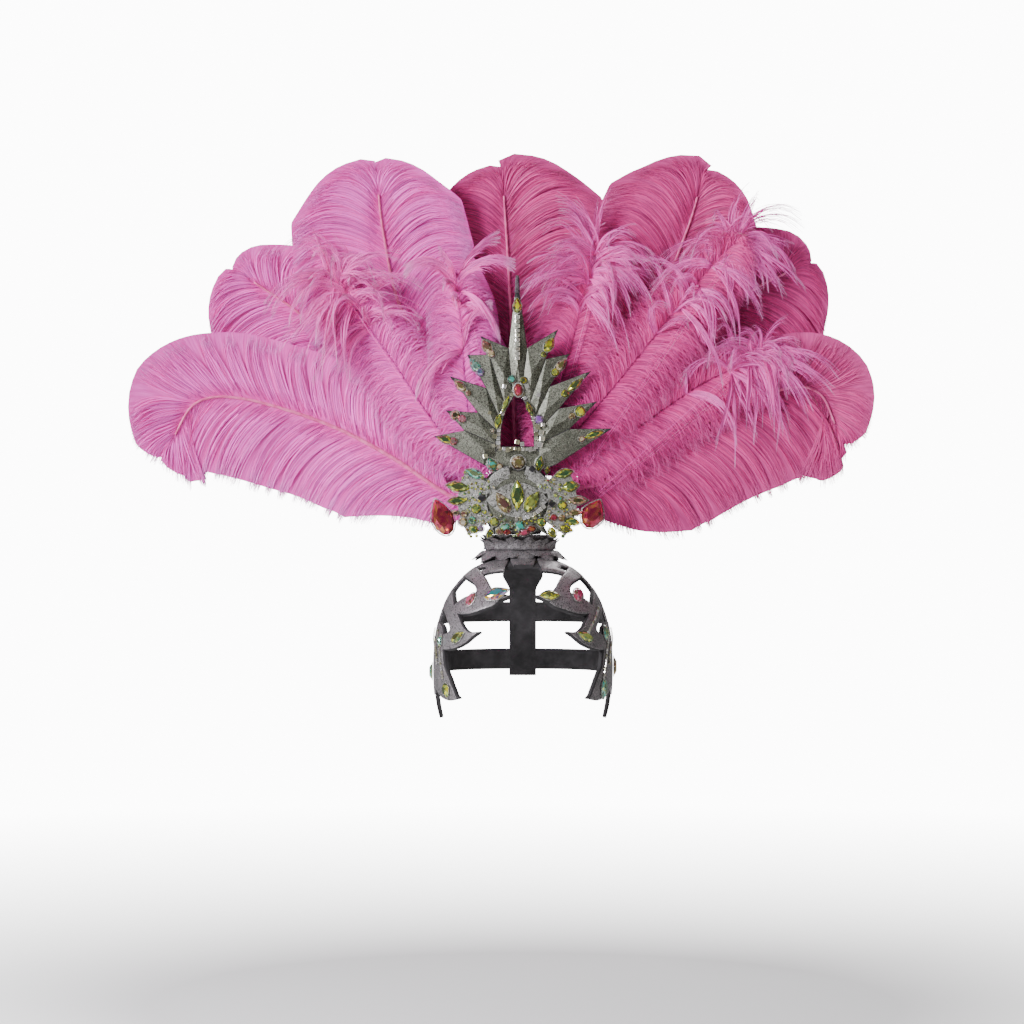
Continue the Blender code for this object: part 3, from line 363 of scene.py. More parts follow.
def blended(one, other, reach):
    """The union of two distance fields with a rounded joint between them."""
    share = np.clip(0.5 + 0.5 * (other - one) / reach, 0.0, 1.0)
    return other + (one - other) * share - reach * share * (1.0 - share)


def trimmed_grid(outline, low, high, step):
    """A flat grid trimmed to where a distance field is negative; its rim vertices are moved onto the outline."""
    columns = int((high[0] - low[0]) / step) + 2
    rows = int((high[1] - low[1]) / step) + 2
    across, up = np.meshgrid(low[0] + step * np.arange(columns), low[1] + step * np.arange(rows))
    places = np.stack((across.ravel(), up.ravel()), axis=1)
    for _ in range(2):
        level = outline(places)
        slope = np.stack([(outline(places + shift) - level) / 1e-5 for shift in np.eye(2) * 1e-5], axis=1)
        slope /= np.maximum(np.linalg.norm(slope, axis=1), 1e-6)[:, None]
        near = (np.abs(level) < 0.51 * step)
        places[near] -= slope[near] * level[near, None]
    level = np.where(near, 0.0, outline(places))
    corner = (np.arange(rows - 1)[:, None] * columns + np.arange(columns - 1)).ravel()
    cells = np.stack((corner, corner + 1, corner + columns + 1, corner + columns), axis=1)
    faces = []
    for cell in cells[(level[cells] < 0.0).any(axis=1)]:
        kept = [int(index) for index in cell if level[index] <= 0.0]
        if len(kept) >= 3:
            faces.append(kept)
    return places, level, faces


def add_moulding(shape, outline, low, high, step, front, back):
    """Adds a solid whose front view is a distance field's outline. Functions give its front and its back. Each
    vertex keeps how far it lies inside the outline. The front has material 1 and the rest material 0."""
    places, level, faces = trimmed_grid(outline, low, high, step)
    used = sorted({index for face in faces for index in face})
    number = {old: new for new, old in enumerate(used)}
    spots = places[used]
    edge = float_layer(shape.verts, "edge")
    layers = []
    for points in (front(spots, level[used]), back(spots, level[used])):
        made = [shape.verts.new(point) for point in points]
        for vertex, depth in zip(made, -level[used]):
            vertex[edge] = depth
        layers.append(made)
    sides = {}
    for face in faces:
        corners = [number[index] for index in face]
        face = shape.faces.new([layers[0][index] for index in corners])
        face.material_index = 1
        face.smooth = True
        shape.faces.new([layers[1][index] for index in reversed(corners)]).smooth = True
        for start, end in zip(corners, corners[1:] + corners[:1]):
            sides[(start, end)] = sides.get((start, end), 0) + 1
    for start, end in sides:
        if (end, start) not in sides:
            shape.faces.new((layers[0][end], layers[0][start], layers[1][start], layers[1][end]))


def plain_piece(name, mesh, slot, *nodes):
    """The piece that shows a mesh and stands for some CAD nodes, or for none."""
    piece = linked(name, mesh)
    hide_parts(*nodes)
    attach(piece, "root")


def finished(name, shape, finishes, slot, *nodes, sharp=40):
    """Turns a bmesh into a piece with its finishes, smooth except at edges sharper than an angle in degrees."""
    bmesh.ops.recalc_face_normals(shape, faces=shape.faces)
    mesh = mesh_of(name, shape)
    for finish in finishes:
        mesh.materials.append(finish)
    mesh.set_sharp_from_angle(angle=math.radians(sharp))
    plain_piece(name, mesh, slot, *nodes)


def add_sockets(tree, in_out, **kinds):
    """Adds sockets to a node group's interface, each a name and the kind of its values."""
    for name, kind in kinds.items():
        tree.interface.new_socket(name, in_out=in_out, socket_type=f"NodeSocket{kind}")


def stored(tree, name):
    """A number that a mesh keeps under a name."""
    return node(tree, "ShaderNodeAttribute", attribute_name=name).outputs["Fac"]


def ramp_of(tree, factor, *stops):
    """The colour at a factor along a ramp of stops, each a place and a colour."""
    made = node(tree, "ShaderNodeValToRGB", {"Fac": factor})
    elements = made.color_ramp.elements
    while len(elements) < len(stops):
        elements.new(0.5)
    for index, (place, colour) in enumerate(stops):
        elements[index].position = place
        elements[index].color = (*colour, 1.0)
    return made.outputs[0]


def roughen(tree, shader, height, strength, distance):
    """Bumps a shader's surface by a height."""
    bump = node(tree, "ShaderNodeBump", {"Height": height, "Strength": strength, "Distance": distance})
    tree.links.new(bump.outputs[0], shader.inputs["Normal"])


def glitter_group():
    """Glitter grains of three sizes: a colour between dark and bright, its roughness, and a height."""
    group = bpy.data.node_groups.new("glitter_grains", "ShaderNodeTree")
    add_sockets(group, "INPUT", Dark="Color", Bright="Color", Grain="Float", Tone="Float")
    add_sockets(group, "OUTPUT", Color="Color", Roughness="Float", Height="Float")
    given = group.nodes.new("NodeGroupInput").outputs
    place = object_place(group)
    grains = node(group, "ShaderNodeTexVoronoi", {"Vector": place, "Scale": given["Grain"]})
    wider = calc(group, "MULTIPLY", given["Grain"], 0.6)
    coarse = node(group, "ShaderNodeTexVoronoi", {"Vector": place, "Scale": wider})
    blotch = node(group, "ShaderNodeTexNoise", {"Vector": place, "Scale": 60.0, "Detail": 1.0})
    fine_tone = node(group, "ShaderNodeSeparateColor", {0: grains.outputs["Color"]}).outputs[0]
    coarse_tone = node(group, "ShaderNodeSeparateColor", {0: coarse.outputs["Color"]}).outputs[1]
    tone = calc(group, "ADD", calc(group, "MULTIPLY", fine_tone, 0.50), calc(group, "MULTIPLY", coarse_tone, 0.25))
    tone = calc(group, "ADD", tone, calc(group, "MULTIPLY", blotch.outputs["Fac"], 0.30))
    tone = calc(group, "ADD", tone, given["Tone"])
    level = node(group, "ShaderNodeMapRange", {"Value": tone, "From Min": 0.25, "From Max": 0.95})
    colour = node(group, "ShaderNodeMix", {0: level.outputs[0]}, data_type="RGBA")
    group.links.new(given["Dark"], colour.inputs[6])
    group.links.new(given["Bright"], colour.inputs[7])
    rough = node(group, "ShaderNodeMapRange", {"Value": coarse_tone, "To Min": 0.22, "To Max": 0.55})
    out = group.nodes.new("NodeGroupOutput").inputs
    group.links.new(colour.outputs[2], out["Color"])
    group.links.new(rough.outputs[0], out["Roughness"])
    group.links.new(tone, out["Height"])
    return group


def glitter_finish(name, dark, bright, grain, metallic, distance):
    """Glitter cloth. Within a hair of the outline, where the piece keeps its edge distance, bare foam shows."""
    made, tree, shader = new_material(name)
    grains = node(tree, "ShaderNodeGroup", node_tree=glitter_grains)
    grains.inputs["Dark"].default_value = (*dark, 1.0)
    grains.inputs["Bright"].default_value = (*bright, 1.0)
    grains.inputs["Grain"].default_value = grain
    # The "fold" number brings painted shade, by the way each facet turns, and a random tone into the glitter.
    tree.links.new(stored(tree, "fold"), grains.inputs["Tone"])
    faced = calc(tree, "GREATER_THAN", stored(tree, "edge"), FACING_EDGE)
    colour = node(tree, "ShaderNodeMix", {0: faced}, data_type="RGBA")
    colour.inputs[6].default_value = (*FOAM_EDGE_COLOUR, 1.0)
    tree.links.new(grains.outputs["Color"], colour.inputs[7])
    tree.links.new(colour.outputs[2], shader.inputs["Base Color"])
    tree.links.new(calc(tree, "MULTIPLY", faced, metallic), shader.inputs["Metallic"])
    rough = node(tree, "ShaderNodeMix", {0: faced, 2: 0.8, 3: grains.outputs["Roughness"]})
    tree.links.new(rough.outputs[0], shader.inputs["Roughness"])
    roughen(tree, shader, grains.outputs["Height"], 0.8, distance)
    return made


def foam_finish():
    """Black foam: matt, with fine closed cells and faint scuffs."""
    made, tree, shader = new_material("black_foam", Roughness=0.8)
    place = object_place(tree)
    cells = node(tree, "ShaderNodeTexVoronoi", {"Vector": place, "Scale": 1400.0})
    scuffs = node(tree, "ShaderNodeTexNoise", {"Vector": place, "Scale": 90.0, "Detail": 5.0})
    colour = ramp_of(tree, scuffs.outputs["Fac"], (0.35, (0.012, 0.011, 0.012)), (0.80, (0.045, 0.042, 0.045)))
    tree.links.new(colour, shader.inputs["Base Color"])
    roughen(tree, shader, cells.outputs["Distance"], 0.35, 0.0002)
    return made


glitter_grains = glitter_group()
black_foam = foam_finish()
cap_silver = glitter_finish("cap_glitter_cloth", (0.070, 0.066, 0.070), (0.40, 0.375, 0.385), 2000.0, 0.50, 0.0003)
bright_silver = glitter_finish("bright_glitter_cloth", (0.10, 0.10, 0.09), (0.58, 0.58, 0.55), 1500.0, 0.65, 0.0004)


def rib_route(side):
    """From the crown plate's edge down to the ear flap."""
    route = [on_head((side * (CROWN_HALF_WIDE + RIB_TOP_OFF), RIB_Y, 0.0))[0]]
    for share in np.linspace(0.18, 1.0, 9):
        angle = math.radians(32 + 58 * share)
        way = np.array((side * math.sin(angle), 0.0, math.cos(angle))) * HEAD_TALL
        route.append(on_head(np.array((0.0, RIB_Y, -HEAD_TALL)) + way)[0])
    for share in np.linspace(0.25, 1.0, 4):
        route.append(np.array((side * HEAD_WIDE * (1 - 0.13 * share ** 2), RIB_Y + 0.008 * share,
                               -HEAD_TALL + (FLAP_BOTTOM + HEAD_TALL) * share)))
    return route


def add_arm(shape, arm, side):
    """One arm: its stem flares into a leaf whose lower edge sweeps out to a long point."""
    size = np.array((HEAD_WIDE, HEAD_TALL))
    stem = smooth_route([np.array(share) * size for share in arm["stem"]], 12)[0]
    leaf = smooth_route([np.array(share) * size for share in arm["leaf"]], 12)[0]
    stem_halves = np.interp(np.linspace(0, 1, len(stem)), (0.0, 0.3, 1.0), (STEM_HALF * 1.3, STEM_HALF, STEM_HALF))
    leaf_halves = np.interp(np.linspace(0, 1, len(leaf)), np.linspace(0, 1, len(LEAF_SHAPE)), LEAF_SHAPE)
    leaf_halves *= arm["half"]

    def outline(places):
        return blended(circles(places, stem, stem_halves)[0], circles(places, leaf, leaf_halves)[0], ARM_FILLET)

    def laid(lift, rise):
        def surface(places, level):
            points = []
            for (across, up), depth in zip(places, -level):
                seen = front_point(min(across / HEAD_WIDE, 0.985), up / HEAD_TALL, side)
                spot, out = on_head(seen)
                points.append(spot + out * (lift + rise * min(depth / ARM_ROUNDING, 1.0) ** 0.5))
            return points
        return surface
    every = np.concatenate((stem, leaf))
    low, high = every.min(axis=0) - ARM_MARGIN, every.max(axis=0) + ARM_MARGIN
    high[0] = min(high[0], HEAD_WIDE * 0.998)
    add_moulding(shape, outline, low, high, ARM_STEP, laid(FOAM - 0.0010, ARM_RISE), laid(GLUE_GAP, 0.0))


def build_side(label, side):
    """One side: a double rib down to the ear flap, and three arms that end in a leaf with a point."""
    shape = bmesh.new()
    route = rib_route(side)
    widths = np.array([RIB_HALF] * (len(route) - 4) + [RIB_HALF * share for share in (0.95, 0.80, 0.60, 0.30)])
    add_strip(shape, route, widths, 0.0, FOAM_BASE, rows=60, faced=False)
    faced_route, faced_widths = route[:-2], widths[:-2]
    for shift in (-0.52, 0.52):
        add_strip(shape, faced_route, faced_widths * 0.44, FOAM_BASE, FOAM, shift=shift * RIB_HALF, rows=56)
    add_strip(shape, route[-4:], widths[-4:] * 0.90, FOAM_BASE, FOAM - 0.0008, rows=14, faced=False)
    for arm in ARMS:
        add_arm(shape, arm, side)
    finished(f"side_{label}_open_work", shape, (black_foam, cap_silver), "silver_foam", f"side_frame_{label}")


def build_crown():
    """The plate over the top of the head, in three long faced panels on one foam base, and at each front corner
    a shoulder and a narrow hoop that carry it on to the first arm."""
    shape = bmesh.new()
    route = [on_head((0.0, y, 0.0))[0] for y in np.linspace(-CROWN_FRONT, CROWN_FRONT, 9)]
    halves = CROWN_HALF_WIDE * np.array((0.72, 0.90, 0.97, 1.0, 1.0, 1.0, 0.97, 0.85, 0.65))
    add_strip(shape, route, halves, 0.0, FOAM_BASE, rows=24, columns=11, faced=False)
    for shift in (-0.66, 0.0, 0.66):
        add_strip(shape, route, halves * 0.31, FOAM_BASE, FOAM, shift=shift * CROWN_HALF_WIDE * 0.95, rows=24)
    for side in (-1, 1):
        for places, half in ((CROWN_SHOULDER, SHOULDER_HALF), (CROWN_HOOP, HOOP_HALF)):
            span = [on_head(front_point(across, up, side))[0] for across, up in places]
            add_strip(shape, span, [half] * 4, GLUE_GAP, FOAM_BASE, rows=24, faced=False)
            add_strip(shape, span, [half * 0.94] * 4, FOAM_BASE, FOAM, rows=24)
    finished("crown_panels", shape, (black_foam, cap_silver), "silver_foam", "crown_plate")


def build_back():
    """The plain bands behind the head: a double strip down the middle and two bands from rib to rib."""
    shape = bmesh.new()
    plate_end = math.atan2(CROWN_FRONT, HEAD_TALL) + 2 * GLUE_GAP / HEAD_TALL
    strip = [on_head(np.array((0.0, math.sin(angle), math.cos(angle) - 1.0)) * HEAD_TALL)[0]
             for angle in np.linspace(plate_end, math.radians(96), 8)]
    halves = np.array([BACK_STRIP_HALF * 1.5] * 2 + [BACK_STRIP_HALF] * 6)
    add_strip(shape, strip, halves, 0.0, FOAM_BASE, rows=30, faced=False)
    for shift in (-0.50, 0.50):
        add_strip(shape, strip, halves * 0.45, FOAM_BASE, FOAM, shift=shift * BACK_STRIP_HALF, rows=30)
    for height in BAND_HEIGHTS:
        start = side_point(RIB_Y + RIB_HALF + 2 * GLUE_GAP, height, 1)
        turn = math.atan2(start[0], start[1])
        level = 1.0 - abs((height + HEAD_TALL) / HEAD_TALL) ** HEAD_ROUND
        band = []
        for angle in np.linspace(turn, -turn, 13):
            way = np.array((math.sin(angle), math.cos(angle)))
            total = (np.abs(way / HEAD_HALVES[:2]) ** HEAD_ROUND).sum()
            band.append((*(way * (level / total) ** (1.0 / HEAD_ROUND)), height))
        add_strip(shape, band, [BAND_HALF] * 2, GLUE_GAP, FOAM_BASE, rows=60, faced=False)
        for shift in (-0.50, 0.50):
            add_strip(shape, band, [BAND_HALF * 0.43] * 2, FOAM_BASE, FOAM - GLUE_GAP, shift=shift * BAND_HALF,
                      rows=60)
    finished("back_bands", shape, (black_foam, cap_silver), "silver_foam", "back_frame")


build_crown()
build_back()
build_side("left", -1)
build_side("right", 1)


# Stones and tiles of the cap: flat-backed cut glass with a coat that shifts between yellow-green, turquoise and
# pink, each glued in a low oval seat. Small square mirrors run down the temples in narrow columns.

CAP_STONE_TALL = 0.0032
SEAT_TALL = 0.0007
TILE_SIZE = 0.0023
TILE_THICK = 0.0012
TILE_LIFT = 0.0008
SECOND_COLUMN = 0.045
# Colours a stone's facets take, from first to last along a ramp: coat hues and painted reflections and glints
STONE_COATS_AND_REFLECTIONS = {
    "aurora": ((0.85, 0.62, 0.04), (0.70, 0.22, 0.25), (0.04, 0.05, 0.03), (0.03, 0.42, 0.42), (0.35, 0.26, 0.50)),
    "lime": ((0.78, 0.74, 0.03), (0.03, 0.035, 0.012), (0.62, 0.74, 0.16), (0.05, 0.16, 0.07), (0.20, 0.20, 0.06)),
    "aqua": ((0.05, 0.50, 0.40), (0.45, 0.75, 0.62), (0.015, 0.05, 0.045), (0.16, 0.26, 0.18), (0.50, 0.62, 0.20)),
    "rose": ((0.50, 0.06, 0.13), (0.66, 0.26, 0.34), (0.10, 0.012, 0.02), (0.42, 0.20, 0.10), (0.45, 0.35, 0.42)),
    "ruby": ((0.36, 0.012, 0.045), (0.56, 0.05, 0.12), (0.12, 0.005, 0.015), (0.66, 0.22, 0.06), (0.42, 0.02, 0.08)),
    "champagne": ((0.55, 0.42, 0.22), (0.80, 0.72, 0.55), (0.05, 0.04, 0.025), (0.30, 0.27, 0.08),
                  (0.34, 0.15, 0.14)),
    "lilac": ((0.34, 0.12, 0.55), (0.65, 0.42, 0.72), (0.06, 0.03, 0.09), (0.20, 0.32, 0.48), (0.50, 0.45, 0.40)),
}
# Stones on the leaves: kind, colour, place as shares of the head's half width and height, way, length and width
CAP_STONES = {
    "left": (
        ("pear", "aurora", (0.290, -0.317), (-1.0, 0.25), 0.023, 0.013),
        ("oval", "rose", (0.568, -0.370), (-0.25, 1.0), 0.014, 0.009),
        ("pear", "lime", (0.704, -0.683), (-1.0, 0.25), 0.018, 0.009),
        ("oval", "aqua", (0.895, -0.726), (0.3, 1.0), 0.011, 0.007),
        ("pear", "lime", (0.830, -1.154), (-0.6, -0.8), 0.014, 0.010),
    ),
    "right": (
        ("navette", "lime", (0.290, -0.332), (1.0, 0.2), 0.019, 0.010),
        ("oval", "rose", (0.593, -0.332), (0.6, 0.8), 0.017, 0.011),
        ("pear", "lime", (0.667, -0.678), (-1.0, 0.15), 0.020, 0.009),
        ("oval", "aqua", (0.889, -0.654), (0.5, 0.9), 0.014, 0.008),
        ("oval", "aqua", (0.870, -1.144), (0.1, 1.0), 0.018, 0.010),
    ),
}
RIB_STONES = {"left": ("aqua", -1.019, 0.0150, 0.0100), "right": ("champagne", -0.971, 0.0180, 0.0100)}


def facet_tone(tree):
    """A facet's own number and its stone's number together."""
    return calc(tree, "ADD", stored(tree, "facet"), stored(tree, "tone"))


def stone_finish(name, colours):
    """Coated glass. Every facet keeps a number of its own, and every stone of a field one more."""
    made, tree, shader = new_material(f"{name}_cut_glass", Roughness=0.06, Coat_Weight=0.6, Coat_Roughness=0.03)
    cloud = node(tree, "ShaderNodeTexNoise", {"Vector": object_place(tree), "Scale": 180.0, "Detail": 1.0})
    drift = calc(tree, "MULTIPLY", cloud.outputs["Fac"], 0.35)
    level = calc(tree, "FRACT", calc(tree, "ADD", facet_tone(tree), drift))
    stops = [((index + 0.5) / len(colours), colour) for index, colour in enumerate(colours)]
    # The ramp paints the facets in the coat's hues and in painted dark and bright reflections; the ruby's orange
    # entry is a painted glint.
    tree.links.new(ramp_of(tree, level, *stops), shader.inputs["Base Color"])
    metal = node(tree, "ShaderNodeMapRange", {"Value": level, "To Min": 0.50, "To Max": 0.90})
    tree.links.new(metal.outputs[0], shader.inputs["Metallic"])
    return made


def stone_outline(kind, count):
    """The girdle of a stone as shares of its half length and half width; its point is at +1."""
    points = []
    for index in range(count):
        angle = 2 * math.pi * index / count
        along, across = math.cos(angle), math.sin(angle)
        if kind == "pear":
            across *= 1.0 - 0.62 * max(along, 0.0) ** 1.2
        elif kind == "navette":
            across *= 1.0 - 0.55 * abs(along) ** 1.6
        points.append((along, across))
    return points


def add_cut_stone(shape, kind, length, width, height, seed, count=12, turn=Matrix()):
    """Adds a stone with a girdle, two rows of kite facets and a table, and gives each facet a number."""
    facet = float_layer(shape.faces, "facet")
    dice = np.random.default_rng(seed)
    outline = stone_outline(kind, count * 2)
    rings = []
    for share, level, offset in ((0.95, 0.0, 0), (1.0, 0.16, 0), (0.80, 0.66, 1), (0.52, 1.0, 0)):
        points = outline[offset::2]
        rings.append([shape.verts.new(turn @ Vector((x * share * length / 2, y * share * width / 2, level * height)))
                      for x, y in points])
    faces = [rings[0][::-1], rings[3]]
    for index in range(count):
        after = (index + 1) % count
        faces.append((rings[0][index], rings[0][after], rings[1][after], rings[1][index]))
        faces.append((rings[1][index], rings[1][after], rings[2][index]))
        faces.append((rings[1][after], rings[2][after], rings[2][index]))
        faces.append((rings[3][index], rings[2][index], rings[3][after]))
        faces.append((rings[2][index], rings[2][after], rings[3][after]))
    for corners in faces:
        face = shape.faces.new(corners)
        face[facet] = dice.random()
    return shape


def facing_turn(place, out, along):
    """The place and turn of a stone that faces a direction."""
    out = Vector(out).normalized()
    along = Vector(along)
    along = (along - out * along.dot(out)).normalized()
    turn = Matrix((along, out.cross(along), out)).transposed().to_4x4()
    return Matrix.Translation(Vector(place)) @ turn


def add_seat(shape, kind, length, width, turn, height=SEAT_TALL, grow=0.0014):
    """Adds the low silver cup a stone sits in: a rim round its girdle with a rounded top."""
    outline = stone_outline(kind, 24)
    rings = []
    for out, level in ((grow, 0.0), (grow, 0.7), (grow * 0.55, 1.0), (0.0001, 0.85), (0.0001, 0.0)):
        rings.append([shape.verts.new(turn @ Vector((x * (length / 2 + out), y * (width / 2 + out), level * height)))
                      for x, y in outline])
    bridge(shape, rings + rings[:1], 1, True)


def setting_tree():
    """Sets a copy of one stone or tile on every point. Points keep their turn, size and tone."""
    tree = bpy.data.node_groups.new("stones_on_points", "GeometryNodeTree")
    add_sockets(tree, "INPUT", Points="Geometry", Stone="Object", Tilt="Float", Seed="Int", Finish="Material")
    add_sockets(tree, "OUTPUT", Stones="Geometry")
    given = tree.nodes.new("NodeGroupInput").outputs
    stone = node(tree, "GeometryNodeObjectInfo", {"Object": given["Stone"]}).outputs["Geometry"]

    def kept(name):
        field = node(tree, "GeometryNodeInputNamedAttribute", {"Name": name}, data_type="FLOAT_VECTOR")
        return field.outputs["Attribute"]
    spread = node(tree, "ShaderNodeCombineXYZ", {0: given["Tilt"], 1: given["Tilt"], 2: 0.0}).outputs[0]
    back = node(tree, "ShaderNodeVectorMath", {0: spread, "Scale": -1.0}, operation="SCALE").outputs[0]
    tilt = node(tree, "FunctionNodeRandomValue", {0: back, 1: spread, "Seed": given["Seed"]},
                data_type="FLOAT_VECTOR")
    turned = node(tree, "FunctionNodeRotateEuler", {"Rotation": kept("turn"), "Rotate By": tilt.outputs[0]},
                  rotation_type="EULER", space="LOCAL")
    copies = node(tree, "GeometryNodeInstanceOnPoints", {"Points": given["Points"], "Instance": stone,
                                                        "Rotation": turned.outputs[0], "Scale": kept("size")})
    whole = node(tree, "GeometryNodeRealizeInstances", {"Geometry": copies.outputs[0]}).outputs[0]
    done = node(tree, "GeometryNodeSetMaterial", {"Geometry": whole, "Material": given["Finish"]}).outputs[0]
    tree.links.new(done, tree.nodes.new("NodeGroupOutput").inputs[0])
    return tree


def grown(source, tree, values):
    """The plain mesh that a Geometry Nodes tree makes of a mesh."""
    guide = linked("guide", source)
    growth = guide.modifiers.new("growth", "NODES")
    growth.node_group = tree
    for item in tree.interface.items_tree:
        if item.in_out == "INPUT" and item.name in values:
            growth[item.identifier] = values[item.name]
    evaluated = guide.evaluated_get(bpy.context.evaluated_depsgraph_get())
    mesh = bpy.data.meshes.new_from_object(evaluated)
    guide.modifiers.clear()
    bpy.data.objects.remove(guide)
    return mesh


def set_on_points(name, settings, stone_mesh, finish, tilt, seed):
    """A plain mesh of copies of a stone: each setting is a place, a turn, a size and a tone."""
    points = bpy.data.meshes.new(name)
    points.from_pydata([tuple(setting[0]) for setting in settings], [], [])
    for key, kind, field in (("turn", "FLOAT_VECTOR", 1), ("size", "FLOAT_VECTOR", 2), ("tone", "FLOAT", 3)):
        values = points.attributes.new(key, kind, "POINT").data
        for entry, setting in zip(values, settings):
            if kind == "FLOAT":
                entry.value = setting[field]
            else:
                entry.vector = setting[field]
    stone = linked(f"{name}_stone", stone_mesh)
    mesh = grown(points, stones_on_points, {"Stone": stone, "Tilt": tilt, "Seed": seed, "Finish": finish})
    bpy.data.objects.remove(stone)
    return mesh


def tile_mesh():
    """One square mirror of unit size with a bevelled edge."""
    shape = bmesh.new()
    facet = shape.faces.layers.float.new("facet")
    bmesh.ops.create_cube(shape, size=1.0)
    bmesh.ops.translate(shape, verts=shape.verts, vec=(0.0, 0.0, 0.5))
    bmesh.ops.bevel(shape, geom=list(shape.edges), offset=0.10, segments=1, affect="EDGES")
    dice = np.random.default_rng(5)
    for face in shape.faces:
        face[facet] = 0.12 * dice.random()
    return mesh_of("mirror_tile", shape)


def mirror_reflection_paint():
    """Small mirrors with painted reflections: each one is painted in the colour of another part of the room, from
    white to olive and grey.
    """
    made, tree, shader = new_material("mirror_tile_painted_reflections", Metallic=0.85, Roughness=0.09)
    room = ramp_of(tree, facet_tone(tree), (0.0, (0.26, 0.25, 0.16)), (0.25, (0.62, 0.60, 0.40)),
                   (0.5, (0.92, 0.92, 0.86)), (0.75, (0.55, 0.50, 0.42)), (1.0, (0.98, 0.98, 0.98)))
    tree.links.new(room, shader.inputs["Base Color"])
    return made


def seated_stone(name, kind, colour, place, out, along, length, width, height, seed, grow=0.0012):
    """One cut stone in its own seat, in the place of a CAD stone."""
    turn = facing_turn(place, out, along)
    shape = bmesh.new()
    add_cut_stone(shape, kind, length, width, height, seed, turn=turn)
    add_seat(shape, kind, length, width, turn, grow=grow)
    face_whole(shape)
    finished(f"{name}_cut", shape, (stone_glass[colour], bright_silver), "stone", name, sharp=1)


def add_group_stone(shape, kind, colour, length, width, tall, seed, count, turn, cup, grow):
    """Adds one seated stone to a piece of many, whose glass is told by the number of its material."""
    before = len(shape.faces)
    add_cut_stone(shape, kind, length, width, tall, seed, count=count, turn=turn)
    shape.faces.ensure_lookup_table()
    for face in shape.faces[before:]:
        face.material_index = 2 + list(stone_glass).index(colour)
    add_seat(shape, kind, length, width, turn, height=cup, grow=grow)


def stone_group(name, shape, *nodes):
    """Finishes a piece of many seated stones."""
    face_whole(shape)
    finished(name, shape, (black_foam, bright_silver, *stone_glass.values()), "stone", *nodes, sharp=1)


def mirror_piece(name, settings, tilt, seed, *nodes):
    """A piece of small square mirrors."""
    plain_piece(name, set_on_points(name, settings, single_tile, mirror, tilt, seed), "mirror_tile", *nodes)


stones_on_points = setting_tree()
mirror = mirror_reflection_paint()
single_tile = tile_mesh()
stone_glass = {name: stone_finish(name, colours) for name, colours in STONE_COATS_AND_REFLECTIONS.items()}


def build_cap_stones(label, side):
    """One side's stones: those on the leaves, and one on the rib."""
    lift = FOAM + 2 * GLUE_GAP
    stones = [(kind, colour, front_point(*share, side), (side * way_x, 0.0, way_z), length, width)
              for kind, colour, share, (way_x, way_z), length, width in CAP_STONES[label]]
    colour, up, length, width = RIB_STONES[label]
    stones.append(("oval", colour, side_point(RIB_Y, up * HEAD_TALL, side), (0.0, 0.0, 1.0), length, width))
    for number, (kind, colour, seen, way, length, width) in enumerate(stones, start=1):
        spot, out = on_head(seen)
        seated_stone(f"cap_stone_{label}_{number}", kind, colour, spot + out * lift, out, way, length, width,
                     CAP_STONE_TALL, 40 * number + side)


def tile_column(places, side, seed, wide=1.0):
    """Settings for small mirrors in one column on the cap, along places seen from the front."""
    fine, lengths = smooth_route([front_point(*share, side) for share in places])
    dice = np.random.default_rng(seed)
    settings = []
    count = int(lengths[-1] / (TILE_SIZE * 1.12))
    for number in range(count):
        spot, way = on_route(fine, lengths, (number + 0.5) / count)
        place, out = on_head(spot)
        turn = facing_turn(place, out, way).to_euler()
        size = TILE_SIZE * dice.uniform(0.90, 1.02)
        settings.append((place + out * (FOAM + TILE_LIFT), tuple(turn), (size, size * wide, TILE_THICK),
                         dice.random()))
    return settings


def build_temple_tiles(label, side):
    """Two columns of small mirrors down the third arm; on the right another follows the second arm's stem."""
    settings = tile_column(ARMS[2]["stem"][:3], side, 8 + side, wide=1.7)
    inner = [(across - SECOND_COLUMN, up) for across, up in ARMS[2]["stem"]]
    settings += tile_column(inner, side, 18 + side)
    if side > 0:
        settings += tile_column(ARMS[1]["stem"][1:], side, 28)
    mirror_piece(f"temple_mirrors_{label}", settings, 0.10, 3 + side, f"temple_tiles_{label}")


for label, side in (("left", -1), ("right", 1)):
    build_cap_stones(label, side)
    build_temple_tiles(label, side)


# Neck: a short waisted tube of foam on the crown plate, wrapped in crumpled silver cloth. Two rings of folded
# leaves with points lean out upwards from its waist, and two more hang over the crown plate's edge.

NECK_X = -0.003
NECK_Y = 0.003
# The neck's profile: height, and half widths across and in depth
NECK_PROFILE = (
    (0.0000, 0.0380, 0.0290), (0.0040, 0.0360, 0.0262), (0.0070, 0.0350, 0.0250), (0.0110, 0.0310, 0.0185),
    (0.0160, 0.0300, 0.0175), (0.0200, 0.0325, 0.0180), (0.0240, 0.0360, 0.0195),
)
NECK_TALL = NECK_PROFILE[-1][0]
NECK_FOOT = 0.0070
CRUMPLE = 0.0013
CRUMPLE_SCALE = 160.0
LEAF_COUNT = 12
LEAF_THICK = 0.0009
# Rows of collar leaves: foot height, point height, how far the point leans out, how wide, and the turn of the row
COLLAR_ROWS = (
    (0.0104, 0.0216, 0.0030, 0.66, 0.5), (0.0100, 0.0192, 0.0040, 0.60, 0.0), (0.0085, -0.0005, 0.0062, 0.56, 0.25),
    (0.0090, 0.0030, 0.0045, 0.50, 0.75),
)


def neck_point(turn, up, out=0.0):
    """A point on the neck's outside at a turn from the front and a height."""
    heights = [row[0] for row in NECK_PROFILE]
    wide, deep = (float(np.interp(up, heights, [row[axis] for row in NECK_PROFILE])) + out for axis in (1, 2))
    return Vector((NECK_X + wide * math.sin(turn), NECK_Y - deep * math.cos(turn), up))


